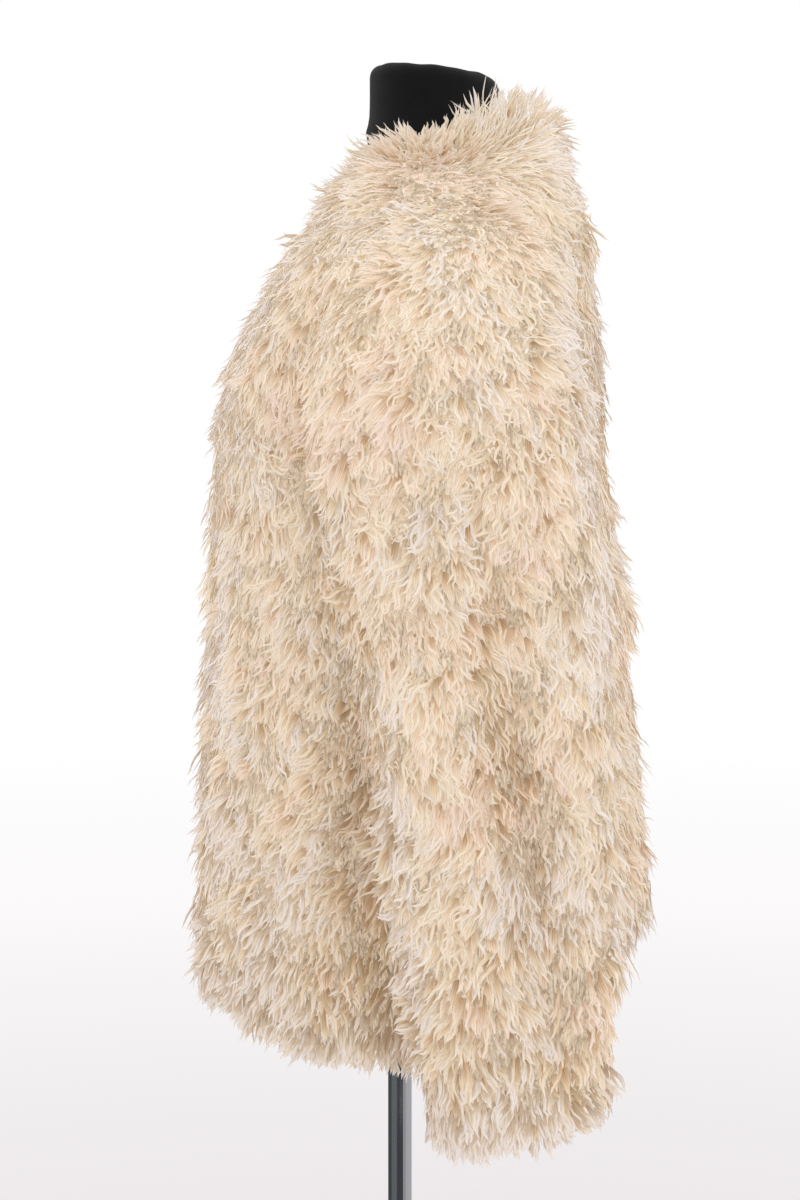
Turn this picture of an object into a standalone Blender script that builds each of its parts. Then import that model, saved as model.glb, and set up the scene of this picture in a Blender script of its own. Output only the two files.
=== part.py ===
"""Shaggy pile coat, hip length and collarless, standing on a limbless dress form.

Metres, +Z up.  The coat faces -Y, the wearer's left is +X, and the pole's axis
is x = y = 0 with the underside of the stand's base at z = 0.

The coat is cut as two fronts, one back and two sleeves.  Each is a hollow wall:
the backing together with the dense pile that stands on it.  The body wall is
worked out from a table of rings below the underarm and three shoulder curves
above it; each sleeve is a tube through a table of rings.
"""
import math
from collections import namedtuple

import bmesh
import bpy
import numpy as np

for old in list(bpy.data.objects):
    bpy.data.objects.remove(old, do_unlink=True)

# ------------------------------------------------------------ driving sizes
WALL = 0.020            # backing 2 mm and dense pile 18 mm
SEAM = 0.0003           # clear gap where two pieces are sewn together
UNDERARM_Z = 1.100
NECK_Y = 0.0265         # middle of the neck, behind the pole's axis
EDGE_RADIUS = 0.0665    # outer edge of the neckline, about the neck's middle
NECKLINE_Z = dict(front=1.334, side=1.361, back=1.387)
HEM_Z = dict(front=0.716, side=0.706, back=0.770)
CUFF_RISE = 0.012       # the back of the cuff is this much higher than its middle
FORM_GAP = 0.004        # between the coat's inside and the form, at the shoulders
FORM_BOTTOM_Z = 0.765
NECK_HALF_WIDTH = 0.0495
NECK_FRONT_Y = -0.0232
NECK_BACK_Y = 0.0762
NECK_TOP_FRONT_Z = 1.4150
NECK_TOP_BACK_Z = 1.4040
NECK_EDGE = 0.011       # rounding of the neck's top edge
POLE_RADIUS = 0.0095
POLE_WALL = 0.0015
POLE_TOP_Z = 0.900
BASE_RADIUS = 0.150
BASE_RIM = 0.006
BASE_CROWN = 0.011

BODY_STEPS_LOWER = 11
BODY_STEPS_UPPER = 9
PANEL_STEPS_FRONT = 11
PANEL_STEPS_BACK = 22
SLEEVE_AROUND = 24
SLEEVE_STEPS = 16

# body rings at and below the underarm: half width, front and back reach
BodyRow = namedtuple("BodyRow", "z half_width front back axis")
BODY_ROWS = [
    BodyRow(0.700, 0.2190, -0.1560, 0.1860, 0.0180),
    BodyRow(0.769, 0.2150, -0.1550, 0.1870, 0.0190),
    BodyRow(0.827, 0.2105, -0.1550, 0.1855, 0.0200),
    BodyRow(0.886, 0.2060, -0.1530, 0.1820, 0.0210),
    BodyRow(0.944, 0.2010, -0.1475, 0.1750, 0.0220),
    BodyRow(1.000, 0.1970, -0.1435, 0.1700, 0.0235),
    BodyRow(1.060, 0.1935, -0.1410, 0.1610, 0.0250),
    BodyRow(1.100, 0.1920, -0.1400, 0.1550, 0.0265),
]
# shoulder curves from the underarm ring up to the neckline, as four control
# points each: reach from the neck's middle, and height
ShoulderRow = namedtuple("ShoulderRow", "r1 z1 r2 z2")
SHOULDER = dict(
    front=ShoulderRow(0.1665, 1.175, 0.1220, 1.250),
    side=ShoulderRow(0.1980, 1.285, 0.1980, 1.316),
    back=ShoulderRow(0.1230, 1.200, 0.1290, 1.374),
)
# soft folds of the body: where they start and end, and how deep they are
BodyFold = namedtuple("BodyFold", "top_deg top_z low_deg low_z spread_deg depth")
BODY_FOLDS = [
    BodyFold(-44, 0.96, -52, 0.76, 9, -0.0060),
    BodyFold(-70, 0.90, -72, 0.69, 10, 0.0040),
    BodyFold(-24, 0.99, -28, 0.70, 9, 0.0060),
    BodyFold(66, 1.02, 62, 0.70, 10, 0.0050),
    BodyFold(88, 1.05, 84, 0.70, 8, -0.0060),
    BodyFold(112, 1.00, 116, 0.70, 11, 0.0060),
    BodyFold(140, 0.94, 146, 0.70, 9, -0.0050),
    BodyFold(226, 0.98, 232, 0.74, 10, -0.0065),
    BodyFold(205, 1.00, 208, 0.70, 9, 0.0055),
    BodyFold(252, 0.88, 250, 0.69, 9, 0.0040),
]
# sleeve rings of the wearer's left: middle, lean of the ring, half thickness
# from the body outwards and half width from front to back
SleeveRow = namedtuple("SleeveRow", "along x y z lean_deg thick wide")
SLEEVE_ROWS = [
    SleeveRow(0.00, 0.1200, 0.0330, 1.2100, 90, 0.112, 0.0800),
    SleeveRow(0.09, 0.1530, 0.0330, 1.2030, 80, 0.107, 0.0850),
    SleeveRow(0.17, 0.1730, 0.0330, 1.1855, 60, 0.098, 0.0900),
    SleeveRow(0.26, 0.2070, 0.0350, 1.1470, 38, 0.077, 0.0930),
    SleeveRow(0.35, 0.2330, 0.0400, 1.0820, 18, 0.0555, 0.0920),
    SleeveRow(0.47, 0.2460, 0.0530, 0.9910, 4, 0.0465, 0.0860),
    SleeveRow(0.63, 0.2530, 0.0640, 0.8930, 1, 0.0460, 0.0805),
    SleeveRow(0.80, 0.2600, 0.0705, 0.7920, 0, 0.0450, 0.0750),
    SleeveRow(0.90, 0.2630, 0.0745, 0.7320, 0, 0.0440, 0.0690),
    SleeveRow(1.00, 0.2650, 0.0775, 0.6720, 0, 0.0420, 0.0620),
]
# soft troughs and ridges of the sleeves: 0 deg is the outermost line, 90 the
# back, 180 the side that lies on the body, -90 the front
SleeveFold = namedtuple("SleeveFold", "top_deg top_w low_deg low_w spread_deg depth")
SLEEVE_FOLDS = dict(
    left=[
        SleeveFold(8, 0.30, 24, 0.84, 15, -0.0170),
        SleeveFold(-34, 0.34, -26, 0.95, 20, 0.0050),
        SleeveFold(52, 0.42, 58, 0.90, 17, 0.0060),
        SleeveFold(-70, 0.55, -62, 0.86, 12, -0.0050),
        SleeveFold(150, 0.45, 170, 0.80, 20, -0.0040),
    ],
    right=[
        SleeveFold(14, 0.36, 6, 0.78, 15, -0.0150),
        SleeveFold(-30, 0.30, -38, 0.90, 19, 0.0055),
        SleeveFold(48, 0.50, 54, 0.95, 18, 0.0060),
        SleeveFold(-58, 0.62, -72, 0.93, 13, -0.0060),
        SleeveFold(160, 0.40, 150, 0.85, 20, -0.0035),
    ],
)
# the form below the shoulders
FormRow = namedtuple("FormRow", "z half_width front back")
FORM_ROWS = [
    FormRow(0.765, 0.158, -0.098, 0.118),
    FormRow(0.800, 0.163, -0.101, 0.122),
    FormRow(0.860, 0.165, -0.102, 0.124),
    FormRow(0.920, 0.153, -0.097, 0.117),
    FormRow(0.990, 0.131, -0.090, 0.106),
    FormRow(1.050, 0.143, -0.101, 0.114),
    FormRow(1.100, 0.1675, -0.1155, 0.1305),
]


# ------------------------------------------------------------------ helpers
def smooth_table(xs, ys, at):
    """Cubic through the points of a table, with slopes that never overshoot."""
    xs = np.asarray(xs, float)
    ys = np.asarray(ys, float)
    at = np.clip(np.asarray(at, float), xs[0], xs[-1])
    step = np.diff(xs)
    rise = np.diff(ys) / step
    slope = np.zeros_like(ys)
    slope[0], slope[-1] = rise[0], rise[-1]
    for i in range(1, len(xs) - 1):
        if rise[i - 1] * rise[i] > 0:
            a, b = step[i - 1], step[i]
            slope[i] = (a + b) * 3 / ((2 * b + a) / rise[i - 1] + (b + 2 * a) / rise[i])
    k = np.clip(np.searchsorted(xs, at, side="right") - 1, 0, len(xs) - 2)
    h = step[k]
    t = (at - xs[k]) / h
    return (
        (2 * t**3 - 3 * t**2 + 1) * ys[k]
        + (t**3 - 2 * t**2 + t) * h * slope[k]
        + (3 * t**2 - 2 * t**3) * ys[k + 1]
        + (t**3 - t**2) * h * slope[k + 1]
    )


def column(rows, name):
    return [getattr(row, name) for row in rows]


def ease(t):
    t = np.clip(t, 0.0, 1.0)
    return t * t * (3 - 2 * t)


def power(value, exponent):
    return np.sign(value) * np.abs(value) ** exponent


def bezier(t, p0, p1, p2, p3):
    return (1 - t) ** 3 * p0 + 3 * (1 - t) ** 2 * t * p1 + 3 * (1 - t) * t * t * p2 + t**3 * p3


def unit(vectors):
    return vectors / np.linalg.norm(vectors, axis=-1, keepdims=True)


# ------------------------------------------------------------- coat's body
def around(u, front, side, back):
    """A value that goes from front to side to back as the angle goes round."""
    s = np.sin(u)
    return side + np.where(s < 0, front - side, back - side) * s * s


def body_outer(u, s):
    """Outer face of the body: u is the angle, 0 at the wearer's left, 90 deg
    at the back; s is 0 at the hem, 1 at the underarm, 2 at the neckline."""
    u, s = np.broadcast_arrays(np.asarray(u, float), np.asarray(s, float))
    hem = around(u, HEM_Z["front"], HEM_Z["side"], HEM_Z["back"])
    low = np.clip(s, 0, 1)
    z = hem + (UNDERARM_Z - hem) * low
    zs = column(BODY_ROWS, "z")
    wide = smooth_table(zs, column(BODY_ROWS, "half_width"), z)
    front = smooth_table(zs, column(BODY_ROWS, "front"), z)
    back = smooth_table(zs, column(BODY_ROWS, "back"), z)
    axis = smooth_table(zs, column(BODY_ROWS, "axis"), z)
    c, n = np.cos(u), np.sin(u)
    e = 2 / 2.35
    low_x = wide * power(c, e)
    reach = np.where(n < 0, axis - front, back - axis)
    low_y = axis + reach * power(n, e)
    # above the underarm: three shoulder curves blended by the angle
    t = np.clip(s - 1, 0, 1)
    top = BODY_ROWS[-1]
    r_side = bezier(t, top.half_width, SHOULDER["side"].r1, SHOULDER["side"].r2, EDGE_RADIUS)
    r_front = bezier(t, NECK_Y - top.front, SHOULDER["front"].r1, SHOULDER["front"].r2, EDGE_RADIUS)
    r_back = bezier(t, top.back - NECK_Y, SHOULDER["back"].r1, SHOULDER["back"].r2, EDGE_RADIUS)
    z_side = bezier(t, UNDERARM_Z, SHOULDER["side"].z1, SHOULDER["side"].z2, NECKLINE_Z["side"])
    z_front = bezier(t, UNDERARM_Z, SHOULDER["front"].z1, SHOULDER["front"].z2, NECKLINE_Z["front"])
    z_back = bezier(t, UNDERARM_Z, SHOULDER["back"].z1, SHOULDER["back"].z2, NECKLINE_Z["back"])
    e_up = 2 / (2.35 - 0.35 * ease(t))
    up_x = r_side * power(c, e_up)
    up_y = NECK_Y + np.where(n < 0, r_front, r_back) * power(n, e_up)
    up_z = around(u, z_front, z_side, z_back)
    upper = s > 1
    x = np.where(upper, up_x, low_x)
    y = np.where(upper, up_y, low_y)
    z = np.where(upper, up_z, z)
    # soft folds push the wall in or out, away from the body's axis
    degrees = np.degrees(u)
    push = np.zeros_like(x)
    for fold in BODY_FOLDS:
        t = np.clip((fold.top_z - z) / (fold.top_z - fold.low_z), 0, 1)
        middle = fold.top_deg + (fold.low_deg - fold.top_deg) * t
        off = (degrees - middle + 180) % 360 - 180
        push = push + fold.depth * np.exp(-((off / fold.spread_deg) ** 2)) * ease(t * 1.4) * (z < fold.top_z)
    out_x, out_y = x, (y - NECK_Y)
    length = np.hypot(out_x, out_y)
    return np.stack([x + push * out_x / length, y + push * out_y / length, z], axis=-1)


def body_normal(u, s):
    du, ds = 1e-3, 1e-3
    u, s = np.broadcast_arrays(np.asarray(u, float), np.asarray(s, float))
    s0, s1 = np.clip(s - ds, 0, 2), np.clip(s + ds, 0, 2)
    across = body_outer(u + du, s) - body_outer(u - du, s)
    up = body_outer(u, s1) - body_outer(u, s0)
    return unit(np.cross(across, up))


def body_wall(u, s, depth):
    return body_outer(u, s) - body_normal(u, s) * depth


# ------------------------------------------------------------------ sleeves
def sleeve_ring(side, phi, w, inset):
    """Points of a sleeve at the angle phi and the share w of its length,
    inset from its outer face; the right sleeve mirrors the left."""
    phi, w = np.broadcast_arrays(np.asarray(phi, float), np.asarray(w, float))
    ws = column(SLEEVE_ROWS, "along")
    x, y, z, lean, thick, wide = (
        smooth_table(ws, column(SLEEVE_ROWS, name), w)
        for name in ("x", "y", "z", "lean_deg", "thick", "wide")
    )
    lean = np.radians(lean)
    e = 2 / 2.25
    c, n = power(np.cos(phi), e), power(np.sin(phi), e)
    degrees = np.degrees(phi)
    push = np.zeros_like(x)
    for fold in SLEEVE_FOLDS[side]:
        t = (w - fold.top_w) / (fold.low_w - fold.top_w)
        middle = fold.top_deg + (fold.low_deg - fold.top_deg) * np.clip(t, 0, 1)
        off = (degrees - middle + 180) % 360 - 180
        fade = ease(t / 0.3) * ease((1.25 - t) / 0.3)
        push = push + fold.depth * np.exp(-((off / fold.spread_deg) ** 2)) * fade
    a = (thick - inset) * c + push * np.cos(phi)
    b = (wide - inset) * n + push * np.sin(phi)
    rise = CUFF_RISE * np.sin(phi) * ease((w - 0.7) / 0.3)
    points = np.stack([x + a * np.cos(lean), y + b, z + a * np.sin(lean) + rise], axis=-1)
    if side == "right":
        points = points * np.array([-1.0, 1.0, 1.0])
    return points


# -------------------------------------------------------------- mesh makers
def add_object(name, vertices, faces, material, sharp=40):
    mesh = bpy.data.meshes.new(name)
    mesh.from_pydata([tuple(map(float, v)) for v in vertices], [], faces)
    bm = bmesh.new()
    bm.from_mesh(mesh)
    bmesh.ops.recalc_face_normals(bm, faces=bm.faces)
    if bm.calc_volume(signed=True) < 0:
        bmesh.ops.reverse_faces(bm, faces=bm.faces)
    bm.to_mesh(mesh)
    bm.free()
    mesh.shade_smooth()
    mesh.set_sharp_from_angle(angle=math.radians(sharp))
    obj = bpy.data.objects.new(name, mesh)
    bpy.context.scene.collection.objects.link(obj)
    if material is not None:
        mesh.materials.append(material)
    return obj


def grid_wall(outer, inner):
    """Closed wall between two grids of the same size (rows x columns)."""
    rows, cols = outer.shape[:2]
    points = np.concatenate([outer.reshape(-1, 3), inner.reshape(-1, 3)])
    def o(i, j):
        return i * cols + j
    def k(i, j):
        return rows * cols + i * cols + j
    faces = []
    for i in range(rows - 1):
        for j in range(cols - 1):
            faces.append((o(i, j), o(i, j + 1), o(i + 1, j + 1), o(i + 1, j)))
            faces.append((k(i, j), k(i + 1, j), k(i + 1, j + 1), k(i, j + 1)))
    for j in range(cols - 1):
        faces.append((o(0, j), k(0, j), k(0, j + 1), o(0, j + 1)))
        faces.append((o(rows - 1, j), o(rows - 1, j + 1), k(rows - 1, j + 1), k(rows - 1, j)))
    for i in range(rows - 1):
        faces.append((o(i, 0), o(i + 1, 0), k(i + 1, 0), k(i, 0)))
        faces.append((o(i, cols - 1), k(i, cols - 1), k(i + 1, cols - 1), o(i + 1, cols - 1)))
    return points, faces


def tube_wall(outer, inner):
    """Closed wall between two tubes of rings (rings x points round)."""
    rows, cols = outer.shape[:2]
    points = np.concatenate([outer.reshape(-1, 3), inner.reshape(-1, 3)])
    size = rows * cols
    faces = []
    for i in range(rows - 1):
        for j in range(cols):
            n = (j + 1) % cols
            faces.append((i * cols + j, i * cols + n, (i + 1) * cols + n, (i + 1) * cols + j))
            faces.append((size + i * cols + j, size + (i + 1) * cols + j, size + (i + 1) * cols + n, size + i * cols + n))
    last = (rows - 1) * cols
    for j in range(cols):
        n = (j + 1) % cols
        faces.append((j, size + j, size + n, n))
        faces.append((last + j, last + n, size + last + n, size + last + j))
    return points, faces


def solid_rings(rings):
    """Closed solid through rings, with a fan at each end."""
    rows, cols = rings.shape[:2]
    points = list(rings.reshape(-1, 3)) + [rings[0].mean(axis=0), rings[-1].mean(axis=0)]
    low, high = rows * cols, rows * cols + 1
    faces = []
    for i in range(rows - 1):
        for j in range(cols):
            n = (j + 1) % cols
            faces.append((i * cols + j, i * cols + n, (i + 1) * cols + n, (i + 1) * cols + j))
    for j in range(cols):
        n = (j + 1) % cols
        faces.append((n, j, low))
        faces.append(((rows - 1) * cols + j, (rows - 1) * cols + n, high))
    return points, faces


def cut(target, cutter):
    """Leaves a live EXACT difference on the target; the cutter stays a guide."""
    cutter.hide_render = True
    cutter.display_type = "WIRE"
    modifier = target.modifiers.new("cut by " + cutter.name, "BOOLEAN")
    modifier.operation = "DIFFERENCE"
    modifier.solver = "EXACT"
    modifier.object = cutter


def material(name, colour, roughness, metallic=0.0):
    mat = bpy.data.materials.new(name)
    mat.use_nodes = True
    shader = mat.node_tree.nodes["Principled BSDF"]
    shader.inputs["Base Color"].default_value = (*colour, 1.0)
    shader.inputs["Roughness"].default_value = roughness
    shader.inputs["Metallic"].default_value = metallic
    return mat


# ---------------------------------------------------------------- materials
CREAM = (0.79, 0.66, 0.47)
pile = {
    name: material("pile_" + name, CREAM, 0.9)
    for name in ("front_left", "front_right", "back", "sleeve_left", "sleeve_right")
}
jersey = material("black_jersey", (0.012, 0.012, 0.013), 0.85)
plastic = material("black_plastic", (0.02, 0.02, 0.02), 0.5)
chrome = material("chrome_tube", (0.72, 0.72, 0.74), 0.12, 1.0)
steel = material("base_steel", (0.62, 0.62, 0.64), 0.3, 1.0)


# --------------------------------------------------------------- the panels
def panel(name, u_from, u_to, steps):
    """One panel of the body from edge to edge, half a seam gap in at each."""
    lower = np.linspace(0, 1, BODY_STEPS_LOWER + 1)
    upper = np.linspace(1, 2, BODY_STEPS_UPPER + 1)[1:]
    s = np.concatenate([lower, upper])[:, None]
    u = np.radians(np.linspace(u_from, u_to, steps + 1))[None, :]
    outer = body_outer(u, s)
    normal = body_normal(u, s)
    tangent = unit(body_outer(u + 1e-3, s) - body_outer(u - 1e-3, s))
    outer[:, 0] += tangent[:, 0] * SEAM / 2
    outer[:, -1] -= tangent[:, -1] * SEAM / 2
    inner = outer - normal * WALL
    points, faces = grid_wall(outer, inner)
    return add_object(name, points, faces, pile[name])


front_left = panel("front_left", -90, 0, PANEL_STEPS_FRONT)
front_right = panel("front_right", 180, 270, PANEL_STEPS_FRONT)
back = panel("back", 0, 180, PANEL_STEPS_BACK)

# the body's outer face, grown by the seam gap, trims the sleeve heads
hull_u = np.radians(np.arange(0, 360, 360 / 44))[None, :]
hull_s = np.concatenate([np.linspace(0, 1, 10), np.linspace(1, 2, BODY_STEPS_UPPER + 1)[1:]])[:, None]
hull_points, hull_faces = solid_rings(body_wall(hull_u, hull_s, -SEAM))
hull = add_object("guide_hull", hull_points, hull_faces, None)
hull.hide_render = True
hull.display_type = "WIRE"

sleeves, hollows = {}, {}
for side in ("left", "right"):
    phi = np.radians(np.arange(0, 360, 360 / SLEEVE_AROUND))[None, :]
    w = np.linspace(0, 1, SLEEVE_STEPS + 1)[:, None]
    points, faces = tube_wall(sleeve_ring(side, phi, w, 0), sleeve_ring(side, phi, w, WALL))
    sleeves[side] = add_object("sleeve_" + side, points, faces, pile["sleeve_" + side])
    w_head = np.linspace(0, 0.37, 8)[:, None]
    points, faces = solid_rings(sleeve_ring(side, phi, w_head, WALL + 0.0002))
    hollows[side] = add_object("guide_armhole_" + side, points, faces, None)
    cut(sleeves[side], hull)

cut(front_left, hollows["left"])
cut(back, hollows["left"])
cut(front_right, hollows["right"])
cut(back, hollows["right"])


# ----------------------------------------------------------------- the form
def form_rings(count):
    u = np.radians(np.arange(0, 360, 360 / count))
    c, n = np.cos(u), np.sin(u)
    rings = []
    zs = column(FORM_ROWS, "z")

    def row(z):
        wide = smooth_table(zs, column(FORM_ROWS, "half_width"), z)
        front = smooth_table(zs, column(FORM_ROWS, "front"), z)
        rear = smooth_table(zs, column(FORM_ROWS, "back"), z)
        return wide, front, rear

    def oval(z, shrink=0.0):
        wide, front, rear = row(z)
        middle = (front + rear) / 2
        e = 2 / 2.2
        x = (wide - shrink) * power(c, e)
        y = middle + ((rear - front) / 2 - shrink) * power(n, e)
        return x, y

    # rounded lower edge, then up to the underarm
    for turn in (0, 30, 60):
        a = math.radians(turn)
        x, y = oval(FORM_BOTTOM_Z, 0.012 * (1 - math.sin(a)))
        rings.append(np.stack([x, y, np.full(count, FORM_BOTTOM_Z + 0.012 * (1 - math.cos(a)))], axis=-1))
    for z in np.linspace(FORM_BOTTOM_Z + 0.012, UNDERARM_Z - 0.02, 8):
        x, y = oval(z)
        rings.append(np.stack([x, y, np.full(count, z)], axis=-1))
    # the shoulders follow the coat's inside
    for s in (1.0, 1.16, 1.3, 1.42, 1.54, 1.66, 1.78, 1.88, 1.95, 2.0):
        rings.append(body_wall(u, np.full(count, s), WALL + FORM_GAP))
    # the neck
    middle = (NECK_FRONT_Y + NECK_BACK_Y) / 2
    deep = (NECK_BACK_Y - NECK_FRONT_Y) / 2

    def neck(height, shrink):
        y = middle + (deep - shrink) * n
        top = NECK_TOP_FRONT_Z + (NECK_TOP_BACK_Z - NECK_TOP_FRONT_Z) * (y - NECK_FRONT_Y) / (2 * deep)
        return np.stack([(NECK_HALF_WIDTH - shrink) * c, y, top - height], axis=-1)

    rings.append(neck(0.052, -0.0030))
    rings.append(neck(0.040, -0.0004))
    rings.append(neck(0.024, 0.0))
    for turn in (0, 22, 45, 68, 90):
        a = math.radians(turn)
        rings.append(neck(NECK_EDGE * (1 - math.sin(a)), NECK_EDGE * (1 - math.cos(a))))
    rings.append(neck(-0.0006, 0.026))
    return np.array(rings)


form_points, form_faces = solid_rings(form_rings(36))
form = add_object("form_torso", form_points, form_faces, jersey, sharp=60)


def turned(name, profile, mat, steps=48, sharp=35):
    """A solid of revolution about the pole's axis from (radius, z) corners."""
    angles = [2 * math.pi * i / steps for i in range(steps)]
    points, faces, rings = [], [], []
    for radius, z in profile:
        if radius == 0:
            rings.append([len(points)])
            points.append((0.0, 0.0, z))
        else:
            rings.append([len(points) + i for i in range(steps)])
            points += [(radius * math.cos(a), radius * math.sin(a), z) for a in angles]
    pairs = list(zip(rings, rings[1:]))
    if profile[0][0] != 0:
        pairs.append((rings[-1], rings[0]))
    for a, b in pairs:
        for i in range(steps):
            j = (i + 1) % steps
            if len(a) == 1:
                faces.append((a[0], b[j], b[i]))
            elif len(b) == 1:
                faces.append((a[i], a[j], b[0]))
            else:
                faces.append((a[i], a[j], b[j], b[i]))
    return add_object(name, points, faces, mat, sharp)


# the pole goes up through the socket into a blind bore of the form
bore = turned("guide_bore", [(0, 0.70), (POLE_RADIUS + SEAM, 0.70), (POLE_RADIUS + SEAM, POLE_TOP_Z + SEAM), (0, POLE_TOP_Z + SEAM)], None, 24)
cut(form, bore)

BOSS_TOP_Z = 0.034
SEAT_Z = BASE_CROWN
turned(
    "stand_base",
    [
        (0, 0.0),
        (BASE_RADIUS - 0.001, 0.0),
        (BASE_RADIUS, 0.001),
        (BASE_RADIUS, BASE_RIM - 0.0015),
        (BASE_RADIUS - 0.0015, BASE_RIM),
        (BASE_RADIUS * 0.55, BASE_RIM + 0.0032),
        (0.024, BASE_CROWN),
        (0.0165, BASE_CROWN + 0.004),
        (0.0150, BOSS_TOP_Z - 0.002),
        (0.0135, BOSS_TOP_Z),
        (POLE_RADIUS + SEAM, BOSS_TOP_Z),
        (POLE_RADIUS + SEAM, SEAT_Z),
        (0, SEAT_Z),
    ],
    steel,
    40,
)
turned(
    "stand_pole",
    [
        (POLE_RADIUS - POLE_WALL, SEAT_Z + SEAM),
        (POLE_RADIUS, SEAT_Z + SEAM),
        (POLE_RADIUS, POLE_TOP_Z),
        (POLE_RADIUS - POLE_WALL, POLE_TOP_Z),
    ],
    chrome,
    24,
)
turned(
    "form_socket",
    [
        (POLE_RADIUS + SEAM, 0.716),
        (0.0150, 0.716),
        (0.0165, 0.7175),
        (0.0165, 0.7530),
        (0.0210, 0.7580),
        (0.0430, 0.7590),
        (0.0440, 0.7600),
        (0.0440, FORM_BOTTOM_Z - SEAM),
        (POLE_RADIUS + SEAM, FORM_BOTTOM_Z - SEAM),
    ],
    plastic,
    24,
)
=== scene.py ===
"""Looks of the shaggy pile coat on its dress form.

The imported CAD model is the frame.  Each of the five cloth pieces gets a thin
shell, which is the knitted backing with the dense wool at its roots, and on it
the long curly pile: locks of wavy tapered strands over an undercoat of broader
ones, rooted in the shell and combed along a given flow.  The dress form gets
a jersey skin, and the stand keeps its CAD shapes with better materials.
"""
import math
from collections import namedtuple

import bmesh
import bpy
import numpy as np
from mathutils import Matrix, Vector
from mathutils.bvhtree import BVHTree
from mathutils.kdtree import KDTree


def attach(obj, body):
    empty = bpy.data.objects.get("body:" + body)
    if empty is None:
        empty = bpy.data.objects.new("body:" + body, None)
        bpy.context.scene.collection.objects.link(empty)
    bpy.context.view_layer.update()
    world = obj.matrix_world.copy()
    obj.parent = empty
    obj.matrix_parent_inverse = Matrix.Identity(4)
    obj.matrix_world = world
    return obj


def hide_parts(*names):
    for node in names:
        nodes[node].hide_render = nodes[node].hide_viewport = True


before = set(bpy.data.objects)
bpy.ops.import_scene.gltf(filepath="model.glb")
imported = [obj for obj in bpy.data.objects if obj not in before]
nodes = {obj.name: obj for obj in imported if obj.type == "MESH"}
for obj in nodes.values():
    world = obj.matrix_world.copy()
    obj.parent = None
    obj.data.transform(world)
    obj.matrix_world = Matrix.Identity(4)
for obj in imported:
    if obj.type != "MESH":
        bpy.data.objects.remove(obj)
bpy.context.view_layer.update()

# ------------------------------------------------------ the coat's own sizes
# These repeat the construction's numbers, in metres.
WALL = 0.020
UNDERARM_Z = 1.100
NECK_Y = 0.0265
EDGE_RADIUS = 0.0665
NECKLINE_Z = dict(front=1.334, side=1.361, back=1.387)
HEM_Z = dict(front=0.716, side=0.706, back=0.770)
CUFF_RISE = 0.012
FORM_GAP = 0.004
FORM_BOTTOM_Z = 0.765
NECK_HALF_WIDTH = 0.0495
NECK_FRONT_Y = -0.0232
NECK_BACK_Y = 0.0762
NECK_TOP_FRONT_Z = 1.4150
NECK_TOP_BACK_Z = 1.4040
NECK_EDGE = 0.011

# body rings at and below the underarm: half width, front and back reach
BodyRow = namedtuple("BodyRow", "z half_width front back axis")
BODY_ROWS = [
    BodyRow(0.700, 0.2190, -0.1560, 0.1860, 0.0180),
    BodyRow(0.769, 0.2150, -0.1550, 0.1870, 0.0190),
    BodyRow(0.827, 0.2105, -0.1550, 0.1855, 0.0200),
    BodyRow(0.886, 0.2060, -0.1530, 0.1820, 0.0210),
    BodyRow(0.944, 0.2010, -0.1475, 0.1750, 0.0220),
    BodyRow(1.000, 0.1970, -0.1435, 0.1700, 0.0235),
    BodyRow(1.060, 0.1935, -0.1410, 0.1610, 0.0250),
    BodyRow(1.100, 0.1920, -0.1400, 0.1550, 0.0265),
]
# shoulder curves from the underarm ring up to the neckline, as four control
# points each: reach from the neck's middle, and height
ShoulderRow = namedtuple("ShoulderRow", "r1 z1 r2 z2")
SHOULDER = dict(
    front=ShoulderRow(0.1665, 1.175, 0.1220, 1.250),
    side=ShoulderRow(0.1980, 1.285, 0.1980, 1.316),
    back=ShoulderRow(0.1230, 1.200, 0.1290, 1.374),
)
# soft folds of the body: where they start and end, and how deep they are
BodyFold = namedtuple("BodyFold", "top_deg top_z low_deg low_z spread_deg depth")
BODY_FOLDS = [
    BodyFold(-44, 0.96, -52, 0.76, 9, -0.0060),
    BodyFold(-70, 0.90, -72, 0.69, 10, 0.0040),
    BodyFold(-24, 0.99, -28, 0.70, 9, 0.0060),
    BodyFold(66, 1.02, 62, 0.70, 10, 0.0050),
    BodyFold(88, 1.05, 84, 0.70, 8, -0.0060),
    BodyFold(112, 1.00, 116, 0.70, 11, 0.0060),
    BodyFold(140, 0.94, 146, 0.70, 9, -0.0050),
    BodyFold(226, 0.98, 232, 0.74, 10, -0.0065),
    BodyFold(205, 1.00, 208, 0.70, 9, 0.0055),
    BodyFold(252, 0.88, 250, 0.69, 9, 0.0040),
]
# sleeve rings of the wearer's left: middle, lean of the ring, half thickness
# from the body outwards and half width from front to back
SleeveRow = namedtuple("SleeveRow", "along x y z lean_deg thick wide")
SLEEVE_ROWS = [
    SleeveRow(0.00, 0.1200, 0.0330, 1.2100, 90, 0.112, 0.0800),
    SleeveRow(0.09, 0.1530, 0.0330, 1.2030, 80, 0.107, 0.0850),
    SleeveRow(0.17, 0.1730, 0.0330, 1.1855, 60, 0.098, 0.0900),
    SleeveRow(0.26, 0.2070, 0.0350, 1.1470, 38, 0.077, 0.0930),
    SleeveRow(0.35, 0.2330, 0.0400, 1.0820, 18, 0.0555, 0.0920),
    SleeveRow(0.47, 0.2460, 0.0530, 0.9910, 4, 0.0465, 0.0860),
    SleeveRow(0.63, 0.2530, 0.0640, 0.8930, 1, 0.0460, 0.0805),
    SleeveRow(0.80, 0.2600, 0.0705, 0.7920, 0, 0.0450, 0.0750),
    SleeveRow(0.90, 0.2630, 0.0745, 0.7320, 0, 0.0440, 0.0690),
    SleeveRow(1.00, 0.2650, 0.0775, 0.6720, 0, 0.0420, 0.0620),
]
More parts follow.
